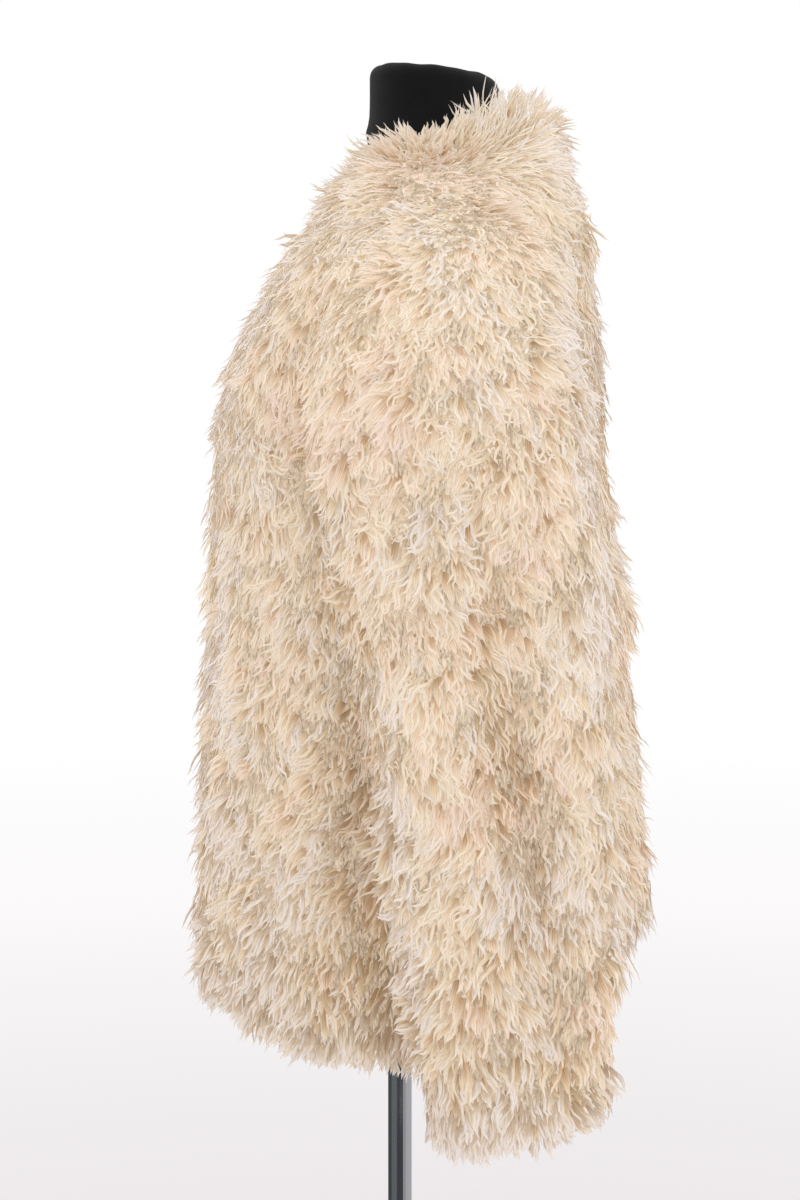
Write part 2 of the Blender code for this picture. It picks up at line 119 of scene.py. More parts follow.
# soft troughs and ridges of the sleeves: 0 deg is the outermost line, 90 the
# back, 180 the side that lies on the body, -90 the front
SleeveFold = namedtuple("SleeveFold", "top_deg top_w low_deg low_w spread_deg depth")
SLEEVE_FOLDS = dict(
    left=[
        SleeveFold(8, 0.30, 24, 0.84, 15, -0.0170),
        SleeveFold(-34, 0.34, -26, 0.95, 20, 0.0050),
        SleeveFold(52, 0.42, 58, 0.90, 17, 0.0060),
        SleeveFold(-70, 0.55, -62, 0.86, 12, -0.0050),
        SleeveFold(150, 0.45, 170, 0.80, 20, -0.0040),
    ],
    right=[
        SleeveFold(14, 0.36, 6, 0.78, 15, -0.0150),
        SleeveFold(-30, 0.30, -38, 0.90, 19, 0.0055),
        SleeveFold(48, 0.50, 54, 0.95, 18, 0.0060),
        SleeveFold(-58, 0.62, -72, 0.93, 13, -0.0060),
        SleeveFold(160, 0.40, 150, 0.85, 20, -0.0035),
    ],
)
# the form below the shoulders
FormRow = namedtuple("FormRow", "z half_width front back")
FORM_ROWS = [
    FormRow(0.765, 0.158, -0.098, 0.118),
    FormRow(0.800, 0.163, -0.101, 0.122),
    FormRow(0.860, 0.165, -0.102, 0.124),
    FormRow(0.920, 0.153, -0.097, 0.117),
    FormRow(0.990, 0.131, -0.090, 0.106),
    FormRow(1.050, 0.143, -0.101, 0.114),
    FormRow(1.100, 0.1675, -0.1155, 0.1305),
]


# ------------------------------------------------------------------ helpers
def smooth_table(xs, ys, at):
    """Cubic through the points of a table, with slopes that never overshoot."""
    xs = np.asarray(xs, float)
    ys = np.asarray(ys, float)
    at = np.clip(np.asarray(at, float), xs[0], xs[-1])
    step = np.diff(xs)
    rise = np.diff(ys) / step
    slope = np.zeros_like(ys)
    slope[0], slope[-1] = rise[0], rise[-1]
    for i in range(1, len(xs) - 1):
        if rise[i - 1] * rise[i] > 0:
            a, b = step[i - 1], step[i]
            slope[i] = (a + b) * 3 / ((2 * b + a) / rise[i - 1] + (b + 2 * a) / rise[i])
    k = np.clip(np.searchsorted(xs, at, side="right") - 1, 0, len(xs) - 2)
    h = step[k]
    t = (at - xs[k]) / h
    return (
        (2 * t**3 - 3 * t**2 + 1) * ys[k]
        + (t**3 - 2 * t**2 + t) * h * slope[k]
        + (3 * t**2 - 2 * t**3) * ys[k + 1]
        + (t**3 - t**2) * h * slope[k + 1]
    )


def column(rows, name):
    return [getattr(row, name) for row in rows]


def ease(t):
    t = np.clip(t, 0.0, 1.0)
    return t * t * (3 - 2 * t)


def power(value, exponent):
    return np.sign(value) * np.abs(value) ** exponent


def bezier(t, p0, p1, p2, p3):
    return (1 - t) ** 3 * p0 + 3 * (1 - t) ** 2 * t * p1 + 3 * (1 - t) * t * t * p2 + t**3 * p3


def unit(vectors):
    return vectors / np.linalg.norm(vectors, axis=-1, keepdims=True)


# ------------------------------------------------------------- coat's body
def around(u, front, side, back):
    """A value that goes from front to side to back as the angle goes round."""
    s = np.sin(u)
    return side + np.where(s < 0, front - side, back - side) * s * s


def body_outer(u, s):
    """Outer face of the body: u is the angle, 0 at the wearer's left, 90 deg
    at the back; s is 0 at the hem, 1 at the underarm, 2 at the neckline."""
    u, s = np.broadcast_arrays(np.asarray(u, float), np.asarray(s, float))
    hem = around(u, HEM_Z["front"], HEM_Z["side"], HEM_Z["back"])
    low = np.clip(s, 0, 1)
    z = hem + (UNDERARM_Z - hem) * low
    zs = column(BODY_ROWS, "z")
    wide = smooth_table(zs, column(BODY_ROWS, "half_width"), z)
    front = smooth_table(zs, column(BODY_ROWS, "front"), z)
    back = smooth_table(zs, column(BODY_ROWS, "back"), z)
    axis = smooth_table(zs, column(BODY_ROWS, "axis"), z)
    c, n = np.cos(u), np.sin(u)
    e = 2 / 2.35
    low_x = wide * power(c, e)
    reach = np.where(n < 0, axis - front, back - axis)
    low_y = axis + reach * power(n, e)
    # above the underarm: three shoulder curves blended by the angle
    t = np.clip(s - 1, 0, 1)
    top = BODY_ROWS[-1]
    r_side = bezier(t, top.half_width, SHOULDER["side"].r1, SHOULDER["side"].r2, EDGE_RADIUS)
    r_front = bezier(t, NECK_Y - top.front, SHOULDER["front"].r1, SHOULDER["front"].r2, EDGE_RADIUS)
    r_back = bezier(t, top.back - NECK_Y, SHOULDER["back"].r1, SHOULDER["back"].r2, EDGE_RADIUS)
    z_side = bezier(t, UNDERARM_Z, SHOULDER["side"].z1, SHOULDER["side"].z2, NECKLINE_Z["side"])
    z_front = bezier(t, UNDERARM_Z, SHOULDER["front"].z1, SHOULDER["front"].z2, NECKLINE_Z["front"])
    z_back = bezier(t, UNDERARM_Z, SHOULDER["back"].z1, SHOULDER["back"].z2, NECKLINE_Z["back"])
    e_up = 2 / (2.35 - 0.35 * ease(t))
    up_x = r_side * power(c, e_up)
    up_y = NECK_Y + np.where(n < 0, r_front, r_back) * power(n, e_up)
    up_z = around(u, z_front, z_side, z_back)
    upper = s > 1
    x = np.where(upper, up_x, low_x)
    y = np.where(upper, up_y, low_y)
    z = np.where(upper, up_z, z)
    # soft folds push the wall in or out, away from the body's axis
    degrees = np.degrees(u)
    push = np.zeros_like(x)
    for fold in BODY_FOLDS:
        t = np.clip((fold.top_z - z) / (fold.top_z - fold.low_z), 0, 1)
        middle = fold.top_deg + (fold.low_deg - fold.top_deg) * t
        off = (degrees - middle + 180) % 360 - 180
        push = push + fold.depth * np.exp(-((off / fold.spread_deg) ** 2)) * ease(t * 1.4) * (z < fold.top_z)
    out_x, out_y = x, (y - NECK_Y)
    length = np.hypot(out_x, out_y)
    return np.stack([x + push * out_x / length, y + push * out_y / length, z], axis=-1)


def body_normal(u, s):
    du, ds = 1e-3, 1e-3
    u, s = np.broadcast_arrays(np.asarray(u, float), np.asarray(s, float))
    s0, s1 = np.clip(s - ds, 0, 2), np.clip(s + ds, 0, 2)
    across = body_outer(u + du, s) - body_outer(u - du, s)
    up = body_outer(u, s1) - body_outer(u, s0)
    return unit(np.cross(across, up))


def body_wall(u, s, depth):
    return body_outer(u, s) - body_normal(u, s) * depth


# ------------------------------------------------------------------ sleeves
def sleeve_ring(side, phi, w, inset):
    """Points of a sleeve at the angle phi and the share w of its length,
    inset from its outer face; the right sleeve mirrors the left."""
    phi, w = np.broadcast_arrays(np.asarray(phi, float), np.asarray(w, float))
    ws = column(SLEEVE_ROWS, "along")
    x, y, z, lean, thick, wide = (
        smooth_table(ws, column(SLEEVE_ROWS, name), w)
        for name in ("x", "y", "z", "lean_deg", "thick", "wide")
    )
    lean = np.radians(lean)
    e = 2 / 2.25
    c, n = power(np.cos(phi), e), power(np.sin(phi), e)
    degrees = np.degrees(phi)
    push = np.zeros_like(x)
    for fold in SLEEVE_FOLDS[side]:
        t = (w - fold.top_w) / (fold.low_w - fold.top_w)
        middle = fold.top_deg + (fold.low_deg - fold.top_deg) * np.clip(t, 0, 1)
        off = (degrees - middle + 180) % 360 - 180
        fade = ease(t / 0.3) * ease((1.25 - t) / 0.3)
        push = push + fold.depth * np.exp(-((off / fold.spread_deg) ** 2)) * fade
    a = (thick - inset) * c + push * np.cos(phi)
    b = (wide - inset) * n + push * np.sin(phi)
    rise = CUFF_RISE * np.sin(phi) * ease((w - 0.7) / 0.3)
    points = np.stack([x + a * np.cos(lean), y + b, z + a * np.sin(lean) + rise], axis=-1)
    if side == "right":
        points = points * np.array([-1.0, 1.0, 1.0])
    return points




def sleeve_normal(side, phi, w):
    phi, w = np.broadcast_arrays(np.asarray(phi, float), np.asarray(w, float))
    w0, w1 = np.clip(w - 2e-3, 0, 1), np.clip(w + 2e-3, 0, 1)
    across = sleeve_ring(side, phi + 2e-3, w, 0) - sleeve_ring(side, phi - 2e-3, w, 0)
    down = sleeve_ring(side, phi, w1, 0) - sleeve_ring(side, phi, w0, 0)
    return unit(np.cross(across, down)) * (-1.0 if side == "left" else 1.0)


class Waves:
    """Smooth noise over space, about 1 in size: a sum of plane waves."""

    def __init__(self, seed, length, count=18):
        rng = np.random.default_rng(seed)
        self.k = unit(rng.normal(size=(count, 3))) * (2 * math.pi / length) * rng.uniform(0.7, 1.35, (count, 1))
        self.shift = rng.uniform(0, 2 * math.pi, count)

    def __call__(self, p):
        return np.sin(p @ self.k.T + self.shift).sum(axis=-1) * math.sqrt(2 / len(self.shift))


# ------------------------------------------------------- the pile's sizes
BACKING_IN = 0.0193     # the backing's inside, below the pile's nominal face
WOOL_IN = 0.0070        # the dense wool's face, below the nominal face
ROOT_IN = 0.0120        # where the locks are rooted
LOCK_SPACING = 0.0084   # least distance between locks
STRAND_SPACING = 0.0039 # least distance between strands on the wearer's left
OTHER_SIDES = 1.27      # strands stand this much wider elsewhere
HIDDEN_SPACING = 1.9    # and this much wider again where cloth lies on cloth
STRAND_LENGTH = 0.0315
STRAND_WIDTH = 0.00121  # half width of a strand at its middle
UNDER_WIDTH = 0.0034    # half width of the undercoat's blades
UNDER_SHARE = 2.80      # blades of undercoat to a lock
GATHER = 0.15           # how far the strands of a lock have met at their tips
STEPS = 24
BANDS = 40              # the map holds this many strands side by side

Profile = namedtuple("Profile", "at width low high soft")
FINE = Profile((0.0, 0.28, 0.46, 0.64, 0.82, 1.0), (0.0, 0.86, 1.0, 0.96, 0.68, 0.0), -0.20, 0.40, 0.80)
PLAIN = Profile((0.0, 0.34, 0.58, 0.80, 1.0), (0.0, 0.92, 1.0, 0.74, 0.0), -0.20, 0.40, 0.80)
UNDER = Profile((0.0, 0.32, 0.70, 1.0), (0.0, 1.0, 0.92, 0.0), -0.08, 0.16, 0.84)

relief = Waves(11, 0.055)
swirl_small = Waves(12, 0.070)
swirl_large = Waves(13, 0.140)
tone_large = Waves(14, 0.110)
tone_small = Waves(15, 0.035)
curl_field = Waves(16, 0.030)


# Creases seen from the wearer's left, as runs of places (y back, z up).  The
# first lies between body and sleeve, the second down the middle of the sleeve.
# each place has a reach, a depth in metres, and a painted shade that darkens the pile's colour there
Crease = namedtuple("Crease", "y z reach depth shade")
CREASES = [
    [
        Crease(-0.070, 1.160, 0.012, 0.0020, 0.12),
        Crease(-0.060, 1.120, 0.014, 0.0036, 0.26),
        Crease(-0.045, 1.060, 0.014, 0.0044, 0.30),
        Crease(-0.032, 0.986, 0.015, 0.0050, 0.40),
        Crease(-0.029, 0.932, 0.016, 0.0055, 0.50),
        Crease(-0.029, 0.874, 0.017, 0.0055, 0.54),
        Crease(-0.023, 0.826, 0.015, 0.0050, 0.44),
        Crease(-0.013, 0.778, 0.016, 0.0055, 0.50),
        Crease(-0.005, 0.735, 0.016, 0.0055, 0.52),
        Crease(0.003, 0.705, 0.016, 0.0050, 0.40),
    ],
    [
        Crease(0.062, 1.150, 0.010, 0.0010, 0.04),
        Crease(0.057, 1.095, 0.010, 0.0024, 0.10),
        Crease(0.051, 1.003, 0.013, 0.0034, 0.30),
        Crease(0.070, 0.952, 0.016, 0.0046, 0.54),
        Crease(0.075, 0.915, 0.016, 0.0046, 0.54),
        Crease(0.082, 0.875, 0.014, 0.0036, 0.36),
        Crease(0.098, 0.829, 0.010, 0.0020, 0.10),
    ],
    [
        Crease(-0.092, 0.955, 0.010, 0.0015, 0.08),
        Crease(-0.084, 0.900, 0.012, 0.0030, 0.14),
        Crease(-0.086, 0.850, 0.010, 0.0018, 0.08),
    ],
    [
        Crease(0.140, 1.010, 0.010, 0.0014, 0.08),
        Crease(0.152, 0.960, 0.011, 0.0026, 0.14),
        Crease(0.152, 0.905, 0.010, 0.0016, 0.08),
    ],
    [
        Crease(0.104, 0.800, 0.010, 0.0016, 0.08),
        Crease(0.112, 0.745, 0.011, 0.0026, 0.14),
        Crease(0.116, 0.690, 0.010, 0.0018, 0.08),
    ],
    [
        Crease(-0.124, 1.174, 0.010, 0.0012, 0.06),
        Crease(-0.114, 1.152, 0.012, 0.0028, 0.18),
        Crease(-0.106, 1.124, 0.010, 0.0014, 0.06),
    ],
    [
        Crease(-0.012, 1.262, 0.012, 0.0014, 0.08),
        Crease(-0.026, 1.222, 0.012, 0.0024, 0.12),
        Crease(-0.040, 1.180, 0.012, 0.0014, 0.06),
    ],
]


def crease_of(p):
    """Depth in metres and painted shade of the listed creases at these points."""
    deep, shade = np.zeros(len(p)), np.zeros(len(p))
    # the wearer's right has the same creases, lower down and a little forward
    right = p[:, 0] < 0
    y = np.where(right, p[:, 1] + 0.007, p[:, 1])
    z = np.where(right, p[:, 2] + 0.022, p[:, 2])
    beside = ease((np.abs(p[:, 0]) - 0.05) / 0.06)
    for run in CREASES:
        best = np.zeros(len(p))
        depth_here, shade_here = np.zeros(len(p)), np.zeros(len(p))
        for first, second in zip(run[:-1], run[1:]):
            dy, dz = second.y - first.y, second.z - first.z
            t = (((y - first.y) * dy + (z - first.z) * dz) / (dy * dy + dz * dz)).clip(0, 1)
            far = np.hypot(y - first.y - t * dy, z - first.z - t * dz)
            reach = first.reach + (second.reach - first.reach) * t
            w = np.exp(-((far / reach) ** 2))
            better = w > best
            best = np.where(better, w, best)
            depth_here = np.where(better, w * (first.depth + (second.depth - first.depth) * t), depth_here)
            shade_here = np.where(better, w * (first.shade + (second.shade - first.shade) * t), shade_here)
        deep += depth_here
        shade += shade_here
    return deep * beside, 0.62 * shade * beside


# How much fuller the pile stands than its nominal face, at the front and at
# the rear, as heights up the coat and metres.
Fullness = namedtuple("Fullness", "z front rear")
FULLNESS = [
    Fullness(0.70, 0.0000, -0.0030),
    Fullness(0.765, 0.0020, -0.0055),
    Fullness(0.80, 0.0010, 0.0075),
    Fullness(0.825, 0.0010, 0.0060),
    Fullness(0.86, 0.0010, 0.0045),
    Fullness(0.90, 0.0005, 0.0050),
    Fullness(0.94, 0.0045, 0.0060),
    Fullness(1.00, 0.0070, 0.0065),
    Fullness(1.06, 0.0030, 0.0070),
    Fullness(1.12, 0.0050, 0.0045),
    Fullness(1.20, 0.0070, 0.0025),
    Fullness(1.27, 0.0070, 0.0010),
    Fullness(1.34, -0.0040, -0.0020),
    Fullness(1.37, 0.0000, 0.0000),
]


def fullness_of(p, n):
    z = [row.z for row in FULLNESS]
    front = np.interp(p[:, 2], z, [row.front for row in FULLNESS])
    rear = np.interp(p[:, 2], z, [row.rear for row in FULLNESS])
    # the sleeves are fuller than the back just over the cuffs
    rear = rear + 0.0065 * ease((np.abs(p[:, 0]) - 0.17) / 0.04) * ease((0.80 - p[:, 2]) / 0.05)
    return front * ease((-n[:, 1] - 0.3) / 0.5) + rear * ease((n[:, 1] - 0.3) / 0.5)


def relief_of(p, n):
    """Soft hills, hollows and creases of the pile, in metres."""
    return 0.0020 * relief(p) - crease_of(p)[0] + fullness_of(p, n)


# How far the pile hangs past the hem and the cuffs, by place from front to back
Past = namedtuple("Past", "y past")
HEM_PAST = [Past(-0.15, 0.016), Past(-0.10, 0.017), Past(-0.05, 0.018), Past(-0.01, 0.024), Past(0.04, 0.026), Past(0.10, 0.016), Past(0.18, 0.014)]
CUFF_PAST = [Past(-0.01, 0.009), Past(0.03, 0.013), Past(0.06, 0.016), Past(0.10, 0.016), Past(0.14, 0.014)]


# The tufts round the neckline, by place from front to back: their length as a
# share of the pile's, and how far they are turned upwards.
Tuft = namedtuple("Tuft", "y length rise")
NECK_TUFTS = [
    Tuft(-0.060, 0.74, 0.00),
    Tuft(-0.024, 0.78, 0.10),
    Tuft(-0.012, 1.02, 0.50),
    Tuft(0.004, 1.00, 0.50),
    Tuft(0.012, 0.66, 0.12),
    Tuft(0.027, 0.68, 0.15),
    Tuft(0.034, 1.02, 0.65),
    Tuft(0.058, 1.12, 0.90),
    Tuft(0.078, 1.08, 0.90),
    Tuft(0.094, 0.76, 0.85),
    Tuft(0.160, 0.70, 0.85),
]


# How the pile is combed on the wearer's left, seen from that side: at a place
# (y back, z up) the locks run at lean_deg from straight down, positive
# towards the back.  The wearer's right is the same in a mirror.
Comb = namedtuple("Comb", "y z lean_deg reach")
SLEEVE_COMB = [
    Comb(0.055, 1.345, 12, 0.034),
    Comb(0.010, 1.318, -8, 0.034),
    Comb(0.100, 1.322, 16, 0.034),
    Comb(0.055, 1.290, -3, 0.036),
    Comb(0.000, 1.262, -14, 0.040),
    Comb(0.115, 1.262, 16, 0.040),
    Comb(0.050, 1.235, -3, 0.040),
    Comb(-0.015, 1.200, -14, 0.045),
    Comb(0.110, 1.200, 16, 0.045),
    Comb(0.000, 1.130, -12, 0.055),
    Comb(0.055, 1.130, 2, 0.055),
    Comb(0.105, 1.130, 14, 0.055),
    Comb(-0.010, 1.030, -12, 0.055),
    Comb(0.050, 1.030, -2, 0.055),
    Comb(0.115, 1.030, 8, 0.055),
    Comb(-0.015, 0.930, -26, 0.050),
    Comb(0.035, 0.930, -8, 0.045),
    Comb(0.110, 0.930, 8, 0.050),
    Comb(-0.005, 0.850, -62, 0.040),
    Comb(0.030, 0.850, -22, 0.040),
    Comb(0.080, 0.850, 2, 0.045),
    Comb(0.120, 0.850, 18, 0.045),
    Comb(0.000, 0.765, -56, 0.040),
    Comb(0.035, 0.765, -24, 0.040),
    Comb(0.080, 0.765, 4, 0.045),
    Comb(0.125, 0.765, 26, 0.045),
    Comb(0.030, 0.690, 2, 0.040),
    Comb(0.070, 0.690, 4, 0.040),
    Comb(0.120, 0.690, 40, 0.040),
]
BODY_COMB = [
    Comb(0.060, 1.370, 52, 0.040),
    Comb(0.020, 1.345, 14, 0.034),
    Comb(-0.020, 1.325, -14, 0.034),
    Comb(-0.040, 1.280, -16, 0.045),
    Comb(-0.080, 1.200, -18, 0.055),
    Comb(-0.105, 1.120, -18, 0.060),
    Comb(-0.120, 1.020, -20, 0.060),
    Comb(-0.060, 1.020, -10, 0.055),
    Comb(-0.125, 0.920, -38, 0.060),
    Comb(-0.060, 0.920, -18, 0.050),
    Comb(-0.125, 0.820, -48, 0.060),
    Comb(-0.070, 0.820, -34, 0.050),
    Comb(-0.020, 0.820, -6, 0.045),
    Comb(-0.125, 0.740, -44, 0.060),
    Comb(-0.060, 0.740, -26, 0.050),
    Comb(-0.010, 0.740, -4, 0.045),
    Comb(0.120, 1.250, 30, 0.070),
    Comb(0.150, 1.050, 8, 0.080),
    Comb(0.160, 0.900, 10, 0.070),
    Comb(0.165, 0.800, 14, 0.070),
]


def comb_lean(table, p):
    """The lean of the pile at these points, in radians, blended by distance."""
    total = np.zeros(len(p))
    weight = np.full(len(p), 1e-9)
    for row in table:
        far = ((p[:, 1] - row.y) ** 2 + (p[:, 2] - row.z) ** 2) / row.reach**2
        w = np.exp(-far)
        total += w * math.radians(row.lean_deg)
        weight += w
    return total / weight


# ----------------------------------------------------------- where locks go
def closed_tree(rings):
    points, faces = solid_rings(rings)
    return BVHTree.FromPolygons([tuple(map(float, p)) for p in points], faces)


def solid_rings(rings):
    """Closed solid through rings, with a fan at each end."""
    rows, cols = rings.shape[:2]
    points = list(rings.reshape(-1, 3)) + [rings[0].mean(axis=0), rings[-1].mean(axis=0)]
    low, high = rows * cols, rows * cols + 1
    faces = []
    for i in range(rows - 1):
        for j in range(cols):
            n = (j + 1) % cols
            faces.append((i * cols + j, i * cols + n, (i + 1) * cols + n, (i + 1) * cols + j))
    for j in range(cols):
        n = (j + 1) % cols
        faces.append((n, j, low))
        faces.append(((rows - 1) * cols + j, (rows - 1) * cols + n, high))
    return points, faces


def inside_of(tree, points, sign):
    """How deep each point lies in a closed solid, in metres; under 0 outside."""
    deep = np.empty(len(points))
    for i, p in enumerate(points):
        spot, normal, _, far = tree.find_nearest(Vector(p))
        deep[i] = far if (Vector(p) - spot).dot(normal) * sign < 0 else -far
    return deep


def covered_by(tree, points, normals, reach):
    """True where a ray outwards soon meets the other cloth."""
    hit = np.zeros(len(points), bool)
    for i, (p, n) in enumerate(zip(points, normals)):
        hit[i] = tree.ray_cast(Vector(p + n * 0.002), Vector(n), reach)[0] is not None
    return hit


ring_u = np.radians(np.arange(0, 360, 4))[None, :]
ring_s = np.concatenate([np.linspace(0, 1, 24), np.linspace(1, 2, 24)[1:]])[:, None]
body_tree = closed_tree(body_outer(ring_u, ring_s))
ring_w = np.linspace(0, 1, 48)[:, None]
sleeve_tree = {side: closed_tree(sleeve_ring(side, ring_u, ring_w, 0)) for side in ("left", "right")}


def outward_sign(tree, centre):
    """+1 if the tree's normals point out of the solid round this point."""
    spot, normal, _, _ = tree.find_nearest(Vector(centre))
    return 1.0 if (spot - Vector(centre)).dot(normal) > 0 else -1.0


body_sign = outward_sign(body_tree, (0.0, 0.02, 0.95))
sleeve_sign = {
    "left": outward_sign(sleeve_tree["left"], (0.2530, 0.0640, 0.8930)),
    "right": outward_sign(sleeve_tree["right"], (-0.2530, 0.0640, 0.8930)),
}


def chosen(points, spacing):
    """Greedy choice, in order, of points that keep their spacing from the rest."""
    cell = float(spacing.max())
    keys = np.floor(points / cell).astype(int).tolist()
    places, gaps = points.tolist(), (spacing**2).tolist()
    around_cell = [(i, j, k) for i in (-1, 0, 1) for j in (-1, 0, 1) for k in (-1, 0, 1)]
    grid, kept = {}, []
    for index, ((kx, ky, kz), (x, y, z), gap) in enumerate(zip(keys, places, gaps)):
        free = True
        for i, j, k in around_cell:
            for px, py, pz in grid.get((kx + i, ky + j, kz + k), ()):
                if (px - x) ** 2 + (py - y) ** 2 + (pz - z) ** 2 < gap:
                    free = False
                    break
            if not free:
                break
        if free:
            grid.setdefault((kx, ky, kz), []).append((x, y, z))
            kept.append(index)
    return np.array(kept, int)


Roots = namedtuple("Roots", "point normal a b rim to_edge")


def spread(seed, surface, normal_of, a_range, b_range, tries, spacing_of, keep):
    """Roots over a surface of two parameters, evenly by area, then thinned."""
    rng = np.random.default_rng(seed)
    a = rng.uniform(*a_range, tries)
    b = rng.uniform(*b_range, tries)
    e = 1e-3
    b0, b1 = np.clip(b - e, *b_range), np.clip(b + e, *b_range)
    size = np.linalg.norm(
        np.cross(surface(a + e, b) - surface(a - e, b), surface(a, b1) - surface(a, b0)), axis=-1
    ) / (b1 - b0)
    take = rng.uniform(size=tries) < size / np.quantile(size, 0.995)
    a, b = a[take], b[take]
    p, n = surface(a, b), normal_of(a, b)
    ok = keep(p)
    a, b, p, n = a[ok], b[ok], p[ok], n[ok]
    index = chosen(p, spacing_of(p, n))
    return Roots(p[index], n[index], a[index], b[index], np.zeros(len(index)), np.ones(len(index)))


def rim(seed, edge, outward, onward, step, depths, turns):
    """Roots round an open edge: on the cut face from the pile to the backing."""
    rng = np.random.default_rng(seed)
    points, normals, along, place = [], [], [], []
    length = np.linalg.norm(np.roll(edge, -1, axis=0) - edge, axis=1)
    total = np.concatenate([[0], np.cumsum(length)])
    closed = np.vstack([edge, edge[:1]])
    for depth, turn in zip(depths, turns):
        count = int(total[-1] / step)
        at = (np.arange(count) + rng.uniform(-0.3, 0.3, count)) / count * total[-1] % total[-1]
        k = np.clip(np.searchsorted(total, at, side="right") - 1, 0, len(edge) - 1)
        t = ((at - total[k]) / np.maximum(length[k], 1e-9))[:, None]
        n = (k + 1) % len(edge)
        p = closed[k] * (1 - t) + closed[k + 1] * t
        out = unit(outward[k] * (1 - t) + outward[n] * t)
        on = unit(onward[k] * (1 - t) + onward[n] * t)
        turned = out * math.cos(math.radians(turn)) + on * math.sin(math.radians(turn))
        points.append(p - out * depth)
        normals.append(turned)
        along.append(k.astype(float))
        place.append(np.full(count, turn / 90.0))
    return Roots(
        np.concatenate(points),
        np.concatenate(normals),
        np.concatenate(along),
        np.concatenate(along),
        np.concatenate(place),
        np.ones(sum(len(k) for k in along)),
    )


def joined(*parts):
    return Roots(*(np.concatenate(values) for values in zip(*parts)))


def faces_left(points, normals):
    """1 on the wearer's left side, which the photo shows, 0 elsewhere."""
    return ease((normals[:, 0] + 0.25) / 0.5) * ease((points[:, 0] + 0.03) / 0.06)


def show_spacing(points, normals, hidden):
    """Strands stand closer on the wearer's left, and wider under other cloth."""
    spacing = STRAND_SPACING * (OTHER_SIDES + (1 - OTHER_SIDES) * faces_left(points, normals))
    spacing[hidden] *= HIDDEN_SPACING
    return spacing


def body_roots():
    def keep(p):
        ok = np.ones(len(p), bool)
        for side in ("left", "right"):
            near = np.abs(p[:, 0]) > 0.10
            near &= (p[:, 0] > 0) == (side == "left")
            index = np.where(near)[0]
            deep = inside_of(sleeve_tree[side], p[index], sleeve_sign[side])
            ok[index[deep > 0.002]] = False
        return ok

    def spacing_of(p, n):
        hidden = np.zeros(len(p), bool)
        for side, sign in (("left", 1), ("right", -1)):
            index = np.where((p[:, 0] * sign > 0.10) & (p[:, 2] > 0.66))[0]
            hidden[index] = covered_by(sleeve_tree[side], p[index], n[index], 0.05)
        return show_spacing(p, n, hidden)

    skin = spread(
        21, body_outer, body_normal, (0, 2 * math.pi), (0.0, 2.0), 400_000, spacing_of, keep
    )
    below = body_outer(skin.a, np.zeros(len(skin.a)))
    skin = skin._replace(to_edge=np.linalg.norm(skin.point - below, axis=1))
    u = np.radians(np.arange(0, 360, 1.5))
    hem = body_outer(u, np.zeros(len(u)))
    out = body_normal(u, np.zeros(len(u)))
    down = np.tile([0.0, 0.0, -1.0], (len(u), 1))
    low = rim(22, hem, out, down, 0.0042, (0.002, 0.008, 0.014), (40, 75, 95))
    top = body_outer(u, np.full(len(u), 2.0))
    out = body_normal(u, np.full(len(u), 2.0))
    middle = np.array([0.0, NECK_Y, 0.0])
    inward = unit((middle - top) * np.array([1, 1, 0]))
    high = rim(23, top, out, inward, 0.0040, (0.001, 0.006), (5, 20))
    high = high._replace(rim=np.full(len(high.rim), -1.0))
    return joined(skin, low, high)


def sleeve_roots(side):
    def surface(a, b):
        return sleeve_ring(side, a, b, 0)

    def normal_of(a, b):
        return sleeve_normal(side, a, b)

    def keep(p):
        near = p[:, 2] > 0.98
        index = np.where(near)[0]
        deep = inside_of(body_tree, p[index], body_sign)
        ok = np.ones(len(p), bool)
        ok[index[deep > -0.001]] = False
        return ok

    def spacing_of(p, n):
        return show_spacing(p, n, covered_by(body_tree, p, n, 0.05))

    first = 31 if side == "left" else 41
    skin = spread(first, surface, normal_of, (0, 2 * math.pi), (0.10, 1.0), 190_000, spacing_of, keep)
    below = surface(skin.a, np.ones(len(skin.a)))
    skin = skin._replace(to_edge=np.linalg.norm(skin.point - below, axis=1))
    phi = np.radians(np.arange(0, 360, 3.0))
    cuff = surface(phi, np.ones(len(phi)))
    out = normal_of(phi, np.ones(len(phi)))
    down = np.tile([0.0, 0.0, -1.0], (len(phi), 1))
    low = rim(first + 1, cuff, out, down, 0.0040, (0.002, 0.008, 0.014), (40, 75, 95))
    return joined(skin, low)


# ------------------------------------------------------------ locks of pile
def coarser_of(p):
    """Downwards, and most at the hems, locks are coarser, straighter and pointed."""
    return 0.32 * ease((1.22 - p[:, 2]) / 0.20) + 0.68 * ease((0.88 - p[:, 2]) / 0.14)


def owners(points, seed):
    """For each strand the lock it belongs to: that of the nearest lock's root."""
    order = np.random.default_rng(seed).permutation(len(points))
    heads = order[chosen(points[order], np.full(len(points), LOCK_SPACING))]
    tree = KDTree(len(heads))
    for k, i in enumerate(heads):
        tree.insert(points[i].tolist(), k)
    tree.balance()
    return heads, np.array([tree.find(p)[1] for p in points.tolist()], int)


